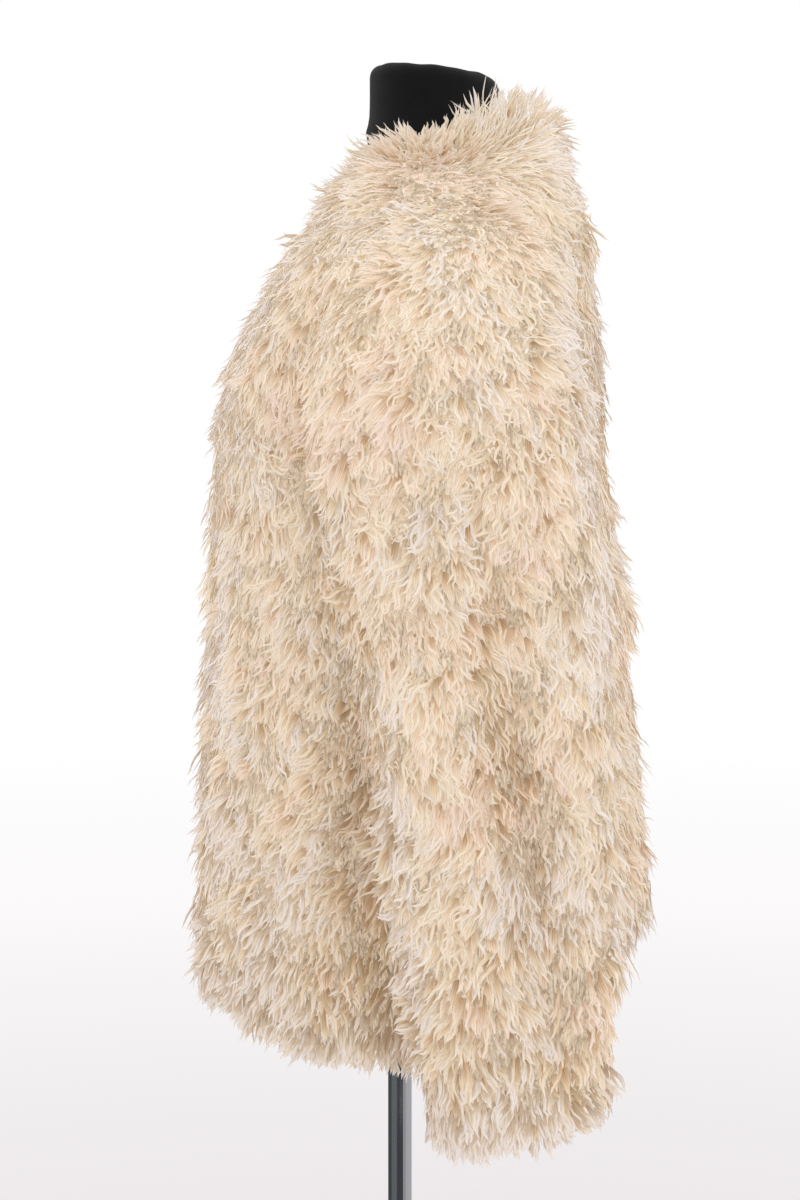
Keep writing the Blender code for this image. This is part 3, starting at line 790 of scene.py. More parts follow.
def courses(roots, table, seed, is_body):
    """The middle line of each strand, with its side, and its lock."""
    rng = np.random.default_rng(seed)
    p, n = roots.point, roots.normal
    count = len(p)
    heads, lock = owners(p, seed + 900)
    many = len(heads)

    def drawn(middle, by_lock, by_strand):
        """A value that locks differ in, and strands of a lock a little too."""
        return middle + rng.normal(0, by_lock, many)[lock] + rng.normal(0, by_strand, count)

    lean = comb_lean(table, p)
    # on the front and back faces the comb seen from the side has no meaning
    sideways = ease(np.abs(n[:, 0]) / 0.6)
    lean = lean * (0.35 + 0.65 * sideways)
    run = np.stack([np.zeros(count), np.sin(lean), -np.cos(lean)], axis=-1)
    flow = run - n * (run * n).sum(axis=1, keepdims=True)
    flow = unit(flow + 1e-6)
    # patches that turn a little more or less than the rest
    calm_turn = 0.20 * swirl_small(p) + 0.16 * swirl_large(p)
    turn = calm_turn + drawn(0, 0.31, 0.13)
    loose = np.exp(-(((p[:, 2] - 1.14) / 0.10) ** 2)) * sideways
    unruly = ease((p[:, 2] - 1.22) / 0.05)
    turn = turn * (0.85 + 0.75 * loose + 0.55 * unruly)
    low = ease((p[:, 2] - 0.68) / 0.10)
    turn = turn * (0.65 + 0.35 * low)
    across = np.cross(n, flow)
    calm = flow * np.cos(calm_turn)[:, None] + across * np.sin(calm_turn)[:, None]
    flow = flow * np.cos(turn)[:, None] + across * np.sin(turn)[:, None]
    across = np.cross(n, flow)

    deep, _ = crease_of(p)
    length = STRAND_LENGTH * drawn(1.0, 0.10, 0.07).clip(0.65, 1.35)
    start = np.radians(drawn(27, 7, 4))
    finish = np.radians(drawn(86, 9, 5))
    wild = (rng.uniform(size=many) < 0.09)[lock] | (rng.uniform(size=count) < 0.03)
    finish[wild] -= np.radians((10 + 16 * rng.uniform(size=many))[lock][wild])
    length[wild] *= 0.90
    length *= 1 - 6.0 * deep
    # on top of the shoulders the pile stands up more
    top = ease((n[:, 2] - 0.50) / 0.35)
    finish -= np.radians(20) * top
    # the edges: locks of a hem hang past it, and those of the neckline stand
    edge = roots.rim > 0
    finish[edge] = np.radians(drawn(36, 7, 6)[edge])
    start[edge] = np.radians(drawn(12, 5, 3)[edge])
    # how far the pile hangs past a hem or a cuff
    past = np.interp(p[:, 1], [row.y for row in (HEM_PAST if is_body else CUFF_PAST)], [row.past for row in (HEM_PAST if is_body else CUFF_PAST)])
    length[edge] = (past * drawn(1.30, 0.20, 0.08))[edge]
    limit = (roots.to_edge + past) * drawn(1.08, 0.12, 0.06)
    length = np.where(edge, length, np.minimum(length, limit))
    if is_body:
        neck = np.where(roots.rim < 0, 1.0, ease((roots.b - 1.80) / 0.16))
        neck[roots.rim > 0] = 0.0
        finish = finish * (1 - neck) + np.radians(drawn(34, 12, 6)) * neck
        start = start * (1 - neck) + np.radians(12) * neck
        tuft_y = [row.y for row in NECK_TUFTS]
        length = length * (1 + (np.interp(p[:, 1], tuft_y, [row.length for row in NECK_TUFTS]) - 1) * neck)
        rise = (np.interp(p[:, 1], tuft_y, [row.rise for row in NECK_TUFTS]) * neck)[:, None]
        n = unit(n + rise * np.array([0.0, -0.45, 1.0]))
        across = unit(np.cross(n, flow))
        flow = np.cross(across, n)
    curl = np.radians(drawn(54, 11, 4)).clip(0.2, 1.08) * (1 - 0.38 * coarser_of(p))
    waves = rng.uniform(1.00, 1.75, many)[lock]
    shift = rng.uniform(0, 0.6, many)[lock] + 0.25 * curl_field(p) + rng.normal(0, 0.06, count)
    hand = np.where(rng.uniform(size=many) < 0.5, -1.0, 1.0)[lock]
    bob = np.radians(drawn(15, 5, 2))
    if is_body:
        bob = bob * (1 + 1.0 * neck)

    t = np.linspace(0, 1, STEPS + 1)[None, :]
    mid = (t[:, 1:] + t[:, :-1]) / 2
    beat = 2 * math.pi * (waves[:, None] * mid + shift[:, None])
    angle = start[:, None] + (finish - start)[:, None] * ease(mid / 0.42) + bob[:, None] * np.cos(beat) * mid
    yaw = (curl * hand)[:, None] * np.sin(beat) * (0.25 + 0.75 * mid)
    ahead = (
        n[:, None, :] * np.cos(angle)[..., None]
        + (flow[:, None, :] * np.cos(yaw)[..., None] + across[:, None, :] * np.sin(yaw)[..., None])
        * np.sin(angle)[..., None]
    )
    lift = relief_of(p, n) - ROOT_IN + drawn(0, 0.0008, 0.0010).clip(-0.0025, 0.0025)
    root = p + n * lift[:, None]
    path = root[:, None, :] + np.concatenate(
        [np.zeros((count, 1, 3)), np.cumsum(ahead, axis=1)], axis=1
    ) * (length / STEPS)[:, None, None]
    # the strands of a lock draw together towards the tip
    towards = p[heads][lock] - p
    towards -= n * (towards * n).sum(axis=1, keepdims=True)
    path += towards[:, None, :] * (drawn(GATHER + 0.16 * coarser_of(p), 0.08, 0.05)[:, None] * ease(t / 0.95))[..., None]

    # the undercoat's courses: neither turned nor curled, and a little lower
    calm = unit(calm - n * (calm * n).sum(axis=1, keepdims=True))
    angle = start[:, None] + (finish - start)[:, None] * ease(mid / 0.42)
    ahead = n[:, None, :] * np.cos(angle)[..., None] + calm[:, None, :] * np.sin(angle)[..., None]
    under = root[:, None, :] + np.concatenate(
        [np.zeros((count, 1, 3)), np.cumsum(ahead, axis=1)], axis=1
    ) * (0.94 * length / STEPS)[:, None, None]
    under -= n[:, None, :] * 0.0030
    return path, across, n, heads, lock, under, np.cross(n, calm)


def sample(path, at):
    """Points of every path at these shares of its length, and their course."""
    place = np.asarray(at) * (path.shape[1] - 1)
    k = np.clip(place.astype(int), 0, path.shape[1] - 2)
    f = (place - k)[None, :, None]
    points = path[:, k] * (1 - f) + path[:, k + 1] * f
    k0, k1 = np.maximum(k - 1, 0), np.minimum(k + 2, path.shape[1] - 1)
    return points, unit(path[:, k1] - path[:, k0])


def tapered(path, across, n, profile, half_width, roll, u_from, u_span, shade):
    """Closed blades along the paths: corner points, shading normals and map."""
    count = len(path)
    points, course = sample(path, profile.at)
    side = unit(across[:, None, :] - course * (across[:, None, :] * course).sum(axis=-1, keepdims=True))
    up = np.cross(side, course)
    wide = half_width[:, None] * np.array(profile.width)[None, :]
    roll = roll[:, None]
    rings, faced, below = [], [], []
    for flat, high in ((-1.0, profile.low), (0.0, profile.high), (1.0, profile.low)):
        x = flat * np.cos(roll) - high * np.sin(roll)
        y = flat * np.sin(roll) + high * np.cos(roll)
        rings.append(points + side * (wide * x)[..., None] + up * (wide * y)[..., None])
        bulge = unit(side * x[..., None] + up * (y + 0.5)[..., None])
        soft = profile.soft * ease(((bulge * n[:, None, :]).sum(axis=-1, keepdims=True) + 0.35) / 0.7)
        faced.append(unit(bulge * (1 - soft) + n[:, None, :] * soft))
        below.append(unit(side * (0.4 * flat) - up))
    rings, faced, below = np.stack(rings, axis=2), np.stack(faced, axis=2), np.stack(below, axis=2)
    coords = np.concatenate([points[:, :1], rings[:, 1:-1].reshape(count, -1, 3), points[:, -1:]], axis=1)
    normals = np.stack(
        [np.concatenate([k[:, 0, 1:2], k[:, 1:-1].reshape(count, -1, 3), k[:, -1, 1:2]], axis=1) for k in (faced, below)],
        axis=1,
    )
    inner = len(profile.at) - 2
    uv = np.empty((count, 2 + 3 * inner, 2))
    place = np.concatenate([[0.5], np.tile([0.0, 0.5, 1.0], inner), [0.5]])
    uv[..., 0] = u_from[:, None] + u_span * place[None, :]
    along = np.concatenate([[0.0], np.repeat(profile.at[1:-1], 3), [1.0]])
    uv[..., 1] = (0.04 + 0.90 * along[None, :] + shade[:, None]).clip(0.01, 0.99)
    return coords, normals, uv


def blade_faces(profile):
    """Triangles of one blade, and which of them are its underside."""
    inner = len(profile.at) - 2
    last = 1 + 3 * inner
    tris, under = [], []
    for c in range(3):
        d = (c + 1) % 3
        under += [c == 2] * (2 + 2 * (inner - 1))
        tris.append((0, 1 + d, 1 + c))
        for r in range(inner - 1):
            a0, b0 = 1 + 3 * r + c, 1 + 3 * r + d
            tris += [(a0, b0, b0 + 3), (a0, b0 + 3, a0 + 3)]
        tris.append((1 + 3 * (inner - 1) + c, 1 + 3 * (inner - 1) + d, last))
    return np.array(tris), np.array(under)


# painted shade by height: how far the pile's colour is shifted towards its darker root on the body and on the sleeves;
# the values below zero paint it a little lighter
Dimmed = namedtuple("Dimmed", "z body sleeve")
DIMMED = [
    Dimmed(0.70, 0.185, 0.130),
    Dimmed(0.76, 0.155, 0.105),
    Dimmed(0.86, 0.030, 0.022),
    Dimmed(0.98, -0.030, -0.022),
    Dimmed(1.10, 0.0, 0.0),
    Dimmed(1.21, 0.085, 0.0),
    Dimmed(1.31, 0.0, 0.0),
]


def painted_light_grey_of(p, n, to_edge, is_body):
    """How much greyer the pile is painted by place: as painted shade low down,
    where less light falls, and as painted rim light at its edges, along the
    front of coat and sleeves and along the rear of sleeves and shoulders,
    where light comes through the outline."""
    low = 0.23 * ease((0.97 - p[:, 2]) / 0.24)
    edge = (0.24 if is_body else 0.34) * ease((0.070 - to_edge) / 0.055)
    if is_body:
        side = 0.30 * ease((-n[:, 1] - 0.62) / 0.3)
        side += 0.30 * ease((n[:, 1] - 0.36) / 0.30) * ease((p[:, 2] - 0.86) / 0.46)
    else:
        side = 0.26 * ease((-n[:, 1] - 0.35) / 0.4) * ease((1.16 - p[:, 2]) / 0.10)
        side += ease((n[:, 1] - 0.42) / 0.34) * (0.26 + 0.34 * ease((p[:, 2] - 0.86) / 0.15))
    return low + edge + side


def pile_mesh(name, roots, table, seed, is_body, mat):
    """Strands gathered into locks over an undercoat, as closed blades."""
    path, across, n, heads, lock, under, under_across = courses(roots, table, seed, is_body)
    rng = np.random.default_rng(seed + 500)
    p = roots.point
    count, many = len(p), len(heads)
    _, crease_painted_shade = crease_of(p)
    # painted shade: less light reaches the pile low down, at the hems and under the chin, so its colour is shifted
    # towards the darker root there
    low_painted_shade = np.interp(p[:, 2], [row.z for row in DIMMED], [row.body if is_body else row.sleeve for row in DIMMED])
    low_painted_shade += 0.03 * ease((0.050 - roots.to_edge) / 0.04)
    by_lock = 0.50 + 0.18 * tone_large(p[heads]) + 0.13 * tone_small(p[heads]) + rng.normal(0, 0.07, many)
    # painted light and shade: the locks' tone turns greyer low down and along the outline
    by_lock -= painted_light_grey_of(p[heads], n[heads], roots.to_edge[heads], is_body)
    standing = np.abs(roots.rim) > 0
    left = faces_left(p, n) > 0.5
    parts = []

    # the undercoat: broader blades below the strands, each with four strands
    # drawn on it
    own = heads[~standing[heads]]
    rest = np.setdiff1d(np.where(~standing)[0], own)
    own = np.concatenate([own, rng.permutation(rest)[: int((UNDER_SHARE - 1) * len(own))]])
    # the undercoat is nearer one tone, and warmer, than the strands on it
    band = np.floor((0.24 + 0.62 * by_lock[lock[own]] + rng.normal(0, 0.03, len(own))).clip(0.0, 0.89) * BANDS)
    width = UNDER_WIDTH * rng.normal(1.0, 0.14, len(own)).clip(0.7, 1.35)
    # painted shade: the undercoat's map is set lower, towards the darker root, so it shows as darker gaps between the
    # strands; it also takes the painted shade of the creases and of the low parts
    made = tapered(
        under[own], under_across[own], n[own], UNDER, width, rng.normal(0, 0.12, len(own)), band / BANDS, 4.0 / BANDS,
        rng.normal(-0.21, 0.05, len(own)) - crease_painted_shade[own] - low_painted_shade[own],
    )
    parts.append((made, blade_faces(UNDER)))

    tone = by_lock[lock] + rng.normal(0, 0.07, count)
    band = np.floor(tone.clip(0.0, 0.999) * BANDS)
    # painted shade of the creases and of the low parts, as a shift along the map towards the darker root
    shade = rng.normal(0, 0.035, count) - crease_painted_shade - low_painted_shade
    width = STRAND_WIDTH * rng.normal(1.0, 0.16, count).clip(0.6, 1.5) * np.where(left, 1.0, 1.22) * (1 + 0.17 * coarser_of(p))
    roll = rng.normal(0, 0.35, count)
    for profile, mask in ((FINE, left), (PLAIN, ~left)):
        if not mask.any():
            continue
        made = tapered(path[mask], across[mask], n[mask], profile, width[mask], roll[mask], band[mask] / BANDS, 1.0 / BANDS, shade[mask])
        parts.append((made, blade_faces(profile)))

    coords = np.concatenate([made[0].reshape(-1, 3) for made, _ in parts])
    index, uv, normals, start = [], [], [], 0
    for (points, facing, where), (tris, under) in parts:
        many, each = points.shape[:2]
        normals.append(np.where(under[None, :, None, None], facing[:, 1][:, tris], facing[:, 0][:, tris]).reshape(-1, 3))
        here = (tris[None] + (np.arange(many) * each)[:, None, None]).reshape(-1)
        index.append(here + start)
        uv.append(where.reshape(-1, 2)[here])
        start += many * each
    index, uv, normals = np.concatenate(index), np.concatenate(uv), np.concatenate(normals)

    mesh = bpy.data.meshes.new(name)
    mesh.vertices.add(len(coords))
    mesh.vertices.foreach_set("co", coords.astype(np.float32).ravel())
    mesh.loops.add(len(index))
    mesh.loops.foreach_set("vertex_index", index.astype(np.int32))
    mesh.polygons.add(len(index) // 3)
    mesh.polygons.foreach_set("loop_start", np.arange(0, len(index), 3, dtype=np.int32))
    layer = mesh.uv_layers.new(name="OFBake")
    layer.data.foreach_set("uv", uv.astype(np.float32).ravel())
    mesh.update(calc_edges=True)
    mesh.shade_smooth()
    mesh.normals_split_custom_set(normals.tolist())
    mesh.materials.append(mat)
    obj = bpy.data.objects.new(name, mesh)
    # wool lets light through: the strands neither shade nor dim each other, and
    # the darkness between them is in their colour from root to tip
    obj.visible_shadow = False
    obj.visible_diffuse = False
    bpy.context.scene.collection.objects.link(obj)
    return obj


# ---------------------------------------------------------------- materials
def new_material(name):
    mat = bpy.data.materials.new(name)
    mat.use_nodes = True
    tree = mat.node_tree
    shader = tree.nodes["Principled BSDF"]
    return mat, tree, shader


def add(tree, kind, **values):
    node = tree.nodes.new(kind)
    for key, value in values.items():
        if key in ("operation", "blend_type", "data_type", "interpolation_type", "uv_map", "wave_type", "bands_direction", "feature", "noise_dimensions", "voronoi_dimensions"):
            setattr(node, key, value)
        else:
            node.inputs[key].default_value = value
    return node


def ramp(tree, stops):
    node = tree.nodes.new("ShaderNodeValToRGB")
    band = node.color_ramp
    while len(band.elements) < len(stops):
        band.elements.new(0.5)
    for element, (place, colour) in zip(band.elements, stops):
        element.position = place
        element.color = (*colour, 1.0)
    return node


def mix_colour(tree, factor, a, b, how="MIX"):
    node = tree.nodes.new("ShaderNodeMix")
    node.data_type = "RGBA"
    node.blend_type = how
    for socket, value in ((0, factor), (6, a), (7, b)):
        if isinstance(value, (int, float)):
            node.inputs[socket].default_value = value
        elif isinstance(value, tuple):
            node.inputs[socket].default_value = (*value, 1.0)
        else:
            tree.links.new(value, node.inputs[socket])
    return node.outputs[2]


def pile_material():
    """Wool locks side by side on the map: tone across it, root to tip up it.

    Each lock has fine hairs along it and painted shade at its edges, and all
    are darker and browner at the root as painted shade.
    """
    mat, tree, shader = new_material("cream_pile_locks")
    link = tree.links.new
    uv = add(tree, "ShaderNodeUVMap", uv_map="OFBake")
    split = tree.nodes.new("ShaderNodeSeparateXYZ")
    link(uv.outputs["UV"], split.inputs[0])
    tone = ramp(
        tree,
        [
            (0.0, (0.858, 0.788, 0.776)),
            (0.20, (0.864, 0.772, 0.712)),
            (0.42, (0.882, 0.754, 0.612)),
            (0.62, (0.905, 0.738, 0.616)),
            (0.82, (0.905, 0.724, 0.630)),
            (1.0, (0.898, 0.714, 0.645)),
        ],
    )
    link(split.outputs["X"], tone.inputs["Fac"])
    # painted shade: from root to tip the colour goes from dark brown to pale cream, for the shade deep in the pile
    depth = ramp(
        tree,
        [
            (0.0, (0.370, 0.290, 0.195)),
            (0.22, (0.600, 0.515, 0.405)),
            (0.40, (0.805, 0.742, 0.655)),
            (0.58, (0.932, 0.902, 0.860)),
            (0.80, (0.970, 0.952, 0.926)),
            (1.0, (0.950, 0.932, 0.908)),
        ],
    )
    link(split.outputs["Y"], depth.inputs["Fac"])
    base = mix_colour(tree, 1.0, tone.outputs["Color"], depth.outputs["Color"], "MULTIPLY")
    # the place across one lock, 0 and 1 at its edges
    spread_out = add(tree, "ShaderNodeMath", operation="MULTIPLY")
    link(split.outputs["X"], spread_out.inputs[0])
    spread_out.inputs[1].default_value = float(BANDS)
    within = add(tree, "ShaderNodeMath", operation="FRACT")
    link(spread_out.outputs[0], within.inputs[0])
    # painted shade: darker, browner edges on each lock, for the shade between neighbouring strands
    edge = ramp(
        tree,
        [(0.0, (0.56, 0.47, 0.36)), (0.15, (0.955, 0.938, 0.912)), (0.5, (1.0, 1.0, 1.0)), (0.85, (0.955, 0.938, 0.912)), (1.0, (0.56, 0.47, 0.36))],
    )
    link(within.outputs[0], edge.inputs["Fac"])
    stretch = add(tree, "ShaderNodeVectorMath", operation="MULTIPLY")
    link(uv.outputs["UV"], stretch.inputs[0])
    stretch.inputs[1].default_value = (BANDS * 2.4, 4.0, 1.0)
    hairs = add(tree, "ShaderNodeTexNoise", noise_dimensions="2D", Scale=1.0, Detail=2.0, Roughness=0.6)
    link(stretch.outputs[0], hairs.inputs["Vector"])
    streak = ramp(tree, [(0.34, (0.80, 0.73, 0.63)), (0.56, (1.0, 1.0, 1.0))])
    link(hairs.outputs["Fac"], streak.inputs["Fac"])
    painted_edge_colour = mix_colour(tree, 0.66, base, edge.outputs["Color"], "MULTIPLY")
    # the hairs show more towards the root
    amount = add(tree, "ShaderNodeMapRange")
    for socket, value in (("From Min", 0.35), ("From Max", 0.80), ("To Min", 0.9), ("To Max", 0.36)):
        amount.inputs[socket].default_value = value
    link(split.outputs["Y"], amount.inputs["Value"])
    colour = mix_colour(tree, amount.outputs["Result"], painted_edge_colour, streak.outputs["Color"], "MULTIPLY")
    link(colour, shader.inputs["Base Color"])
    bump = add(tree, "ShaderNodeBump", Strength=0.12, Distance=0.0003)
    link(hairs.outputs["Fac"], bump.inputs["Height"])
    link(bump.outputs["Normal"], shader.inputs["Normal"])
    shader.inputs["Roughness"].default_value = 0.80
    shader.inputs["Specular IOR Level"].default_value = 0.06
    shader.inputs["Sheen Weight"].default_value = 0.12
    shader.inputs["Sheen Roughness"].default_value = 0.45
    shader.inputs["Sheen Tint"].default_value = (1.0, 0.97, 0.92, 1.0)
    shader.inputs["Subsurface Weight"].default_value = 0.40
    shader.inputs["Subsurface Radius"].default_value = (1.0, 0.82, 0.66)
    shader.inputs["Subsurface Scale"].default_value = 0.003
    return mat


def wool_material():
    """The dense curly wool at the roots of the locks, its cream darkened and browned as painted shade for the depth
    below the locks.
    """
    mat, tree, shader = new_material("cream_pile_wool")
    link = tree.links.new
    place = tree.nodes.new("ShaderNodeTexCoord")
    drawn_out = add(tree, "ShaderNodeVectorMath", operation="MULTIPLY")
    drawn_out.inputs[1].default_value = (1.0, 1.0, 0.34)
    link(place.outputs["Object"], drawn_out.inputs[0])
    curls = add(tree, "ShaderNodeTexNoise", Scale=430.0, Detail=2.0, Roughness=0.5, Distortion=1.2)
    link(drawn_out.outputs[0], curls.inputs["Vector"])
    patch = add(tree, "ShaderNodeTexNoise", Scale=22.0, Detail=2.0)
    link(place.outputs["Object"], patch.inputs["Vector"])
    # painted shade: the wool's cream is darkened and browned for the depth below the locks
    colour = ramp(
        tree,
        [(0.36, (0.490, 0.370, 0.250)), (0.50, (0.710, 0.575, 0.430)), (0.64, (0.850, 0.720, 0.570))],
    )
    link(curls.outputs["Fac"], colour.inputs["Fac"])
    warm = ramp(tree, [(0.35, (1.0, 0.97, 0.93)), (0.65, (0.97, 0.95, 0.93))])
    link(patch.outputs["Fac"], warm.inputs["Fac"])
    link(mix_colour(tree, 1.0, colour.outputs["Color"], warm.outputs["Color"], "MULTIPLY"), shader.inputs["Base Color"])
    bump = add(tree, "ShaderNodeBump", Strength=0.9, Distance=0.004)
    link(curls.outputs["Fac"], bump.inputs["Height"])
    link(bump.outputs["Normal"], shader.inputs["Normal"])
    shader.inputs["Roughness"].default_value = 0.85
    shader.inputs["Sheen Weight"].default_value = 0.05
    shader.inputs["Sheen Roughness"].default_value = 0.5
    return mat


def backing_material():
    """The knitted backing inside the coat: rows of fine stitches."""
    mat, tree, shader = new_material("cream_backing_knit")
    link = tree.links.new
    uv = add(tree, "ShaderNodeUVMap", uv_map="cloth")
    rows = add(tree, "ShaderNodeTexWave", wave_type="BANDS", bands_direction="X", Scale=1.0, Distortion=0.6, Detail=1.0)
    rows.inputs["Detail Scale"].default_value = 2.0
    size = add(tree, "ShaderNodeVectorMath", operation="MULTIPLY")
    size.inputs[1].default_value = (95.0, 70.0, 1.0)
    link(uv.outputs["UV"], size.inputs[0])
    link(size.outputs[0], rows.inputs["Vector"])
    loops = add(tree, "ShaderNodeTexWave", wave_type="BANDS", bands_direction="Y", Scale=1.0, Distortion=1.2, Detail=1.0)
    link(size.outputs[0], loops.inputs["Vector"])
    knit = mix_colour(tree, 0.5, rows.outputs["Color"], loops.outputs["Color"], "MULTIPLY")
    colour = ramp(tree, [(0.05, (0.46, 0.38, 0.27)), (0.55, (0.70, 0.61, 0.47)), (1.0, (0.76, 0.68, 0.54))])
    link(knit, colour.inputs["Fac"])
    link(colour.outputs["Color"], shader.inputs["Base Color"])
    bump = add(tree, "ShaderNodeBump", Strength=0.5, Distance=0.0006)
    link(knit, bump.inputs["Height"])
    link(bump.outputs["Normal"], shader.inputs["Normal"])
    shader.inputs["Roughness"].default_value = 0.9
    return mat


def jersey_material():
    """Black cotton jersey: fine vertical ribs of loops, dull, faintly dusty."""
    mat, tree, shader = new_material("black_jersey_knit")
    link = tree.links.new
    uv = add(tree, "ShaderNodeUVMap", uv_map="cloth")
    size = add(tree, "ShaderNodeVectorMath", operation="MULTIPLY")
    size.inputs[1].default_value = (210.0, 150.0, 1.0)
    link(uv.outputs["UV"], size.inputs[0])
    ribs = add(tree, "ShaderNodeTexWave", wave_type="BANDS", bands_direction="X", Scale=1.0, Distortion=0.4, Detail=1.0)
    link(size.outputs[0], ribs.inputs["Vector"])
    loops = add(tree, "ShaderNodeTexWave", wave_type="BANDS", bands_direction="Y", Scale=1.0, Distortion=0.8, Detail=1.0)
    link(size.outputs[0], loops.inputs["Vector"])
    knit = mix_colour(tree, 0.5, ribs.outputs["Color"], loops.outputs["Color"], "MULTIPLY")
    place = tree.nodes.new("ShaderNodeTexCoord")
    dust = add(tree, "ShaderNodeTexNoise", Scale=35.0, Detail=6.0, Roughness=0.7)
    link(place.outputs["Object"], dust.inputs["Vector"])
    colour = ramp(tree, [(0.0, (0.0032, 0.0032, 0.0037)), (1.0, (0.0078, 0.0077, 0.0084))])
    link(knit, colour.inputs["Fac"])
    lint = ramp(tree, [(0.40, (0.75, 0.75, 0.78)), (0.72, (1.25, 1.22, 1.20))])
    link(dust.outputs["Fac"], lint.inputs["Fac"])
    link(mix_colour(tree, 1.0, colour.outputs["Color"], lint.outputs["Color"], "MULTIPLY"), shader.inputs["Base Color"])
    bump = add(tree, "ShaderNodeBump", Strength=0.35, Distance=0.0004)
    link(knit, bump.inputs["Height"])
    link(bump.outputs["Normal"], shader.inputs["Normal"])
    shader.inputs["Roughness"].default_value = 0.92
    shader.inputs["Specular IOR Level"].default_value = 0.15
    shader.inputs["Sheen Weight"].default_value = 0.06
    return mat


def metal_material(name, colour, low, high, stretch, scale, strength):
    """Bright metal with fine lines and handling marks in its roughness."""
    mat, tree, shader = new_material(name)
    link = tree.links.new
    place = tree.nodes.new("ShaderNodeTexCoord")
    size = add(tree, "ShaderNodeVectorMath", operation="MULTIPLY")
    size.inputs[1].default_value = stretch
    link(place.outputs["Object"], size.inputs[0])
    grain = add(tree, "ShaderNodeTexNoise", Scale=scale, Detail=5.0, Roughness=0.6)
    link(size.outputs[0], grain.inputs["Vector"])
    marks = add(tree, "ShaderNodeTexNoise", Scale=14.0, Detail=3.0)
    link(place.outputs["Object"], marks.inputs["Vector"])
    rough = add(tree, "ShaderNodeMapRange")
    rough.inputs["From Min"].default_value = 0.3
    rough.inputs["From Max"].default_value = 0.7
    rough.inputs["To Min"].default_value = low
    rough.inputs["To Max"].default_value = high
    link(marks.outputs["Fac"], rough.inputs["Value"])
    link(rough.outputs["Result"], shader.inputs["Roughness"])
    tint = ramp(tree, [(0.35, tuple(0.94 * c for c in colour)), (0.65, colour)])
    link(grain.outputs["Fac"], tint.inputs["Fac"])
    link(tint.outputs["Color"], shader.inputs["Base Color"])
    bump = add(tree, "ShaderNodeBump", Strength=strength, Distance=0.0001)
    link(grain.outputs["Fac"], bump.inputs["Height"])
    link(bump.outputs["Normal"], shader.inputs["Normal"])
    shader.inputs["Metallic"].default_value = 1.0
    return mat


def plastic_material():
    mat, tree, shader = new_material("black_plastic_moulded")
    link = tree.links.new
    place = tree.nodes.new("ShaderNodeTexCoord")
    grain = add(tree, "ShaderNodeTexNoise", Scale=900.0, Detail=2.0)
    link(place.outputs["Object"], grain.inputs["Vector"])
    colour = ramp(tree, [(0.3, (0.014, 0.014, 0.015)), (0.7, (0.024, 0.024, 0.025))])
    link(grain.outputs["Fac"], colour.inputs["Fac"])
    link(colour.outputs["Color"], shader.inputs["Base Color"])
    bump = add(tree, "ShaderNodeBump", Strength=0.25, Distance=0.0002)
    link(grain.outputs["Fac"], bump.inputs["Height"])
    link(bump.outputs["Normal"], shader.inputs["Normal"])
    shader.inputs["Roughness"].default_value = 0.5
    return mat


strand_mat = pile_material()
wool_mat = wool_material()
backing_mat = backing_material()
jersey_mat = jersey_material()
chrome_mat = metal_material("chrome_tube_polished", (0.70, 0.71, 0.73), 0.06, 0.16, (1.0, 1.0, 0.02), 900.0, 0.05)
steel_mat = metal_material("base_steel_brushed", (0.60, 0.60, 0.61), 0.26, 0.38, (1.0, 0.04, 1.0), 700.0, 0.15)
plastic_mat = plastic_material()


# ------------------------------------------------------------ cloth shells
def shell_mesh(name, outer, inner, uv, closed_round, mats):
    """Closed wall between two grids; the inner grid and the side edges are backing, the end edges wool."""
    rows, cols = outer.shape[:2]
    size = rows * cols
    points = np.concatenate([outer.reshape(-1, 3), inner.reshape(-1, 3)])
    faces, kinds = [], []
    last = cols if closed_round else cols - 1
    for i in range(rows - 1):
        for j in range(last):
            n = (j + 1) % cols
            a, b, c, d = i * cols + j, i * cols + n, (i + 1) * cols + n, (i + 1) * cols + j
            faces.append((a, b, c, d))
            kinds.append(0)
            faces.append((size + a, size + d, size + c, size + b))
            kinds.append(1)
    for j in range(last):
        n = (j + 1) % cols
        faces.append((j, size + j, size + n, n))
        k = (rows - 1) * cols
        faces.append((k + j, k + n, size + k + n, size + k + j))
        kinds += [0, 0]
    if not closed_round:
        for i in range(rows - 1):
            faces.append((i * cols, (i + 1) * cols, size + (i + 1) * cols, size + i * cols))
            k = cols - 1
            faces.append((i * cols + k, size + i * cols + k, size + (i + 1) * cols + k, (i + 1) * cols + k))
            kinds += [1, 1]
    mesh = bpy.data.meshes.new(name)
    mesh.from_pydata([tuple(map(float, p)) for p in points], [], faces)
    layer = mesh.uv_layers.new(name="cloth")
    flat = np.concatenate([uv.reshape(-1, 2)] * 2)
    index = np.empty(len(mesh.loops), np.int32)
    mesh.loops.foreach_get("vertex_index", index)
    layer.data.foreach_set("uv", flat[index].astype(np.float32).ravel())
    for mat in mats:
        mesh.materials.append(mat)
    mesh.polygons.foreach_set("material_index", np.array(kinds, np.int32))
    bm = bmesh.new()
    bm.from_mesh(mesh)
    bmesh.ops.recalc_face_normals(bm, faces=bm.faces)
    if bm.calc_volume(signed=True) < 0:
        bmesh.ops.reverse_faces(bm, faces=bm.faces)
    bm.to_mesh(mesh)
    bm.free()
    mesh.shade_smooth()
    mesh.set_sharp_from_angle(angle=math.radians(50))
    obj = bpy.data.objects.new(name, mesh)
    bpy.context.scene.collection.objects.link(obj)
    return obj


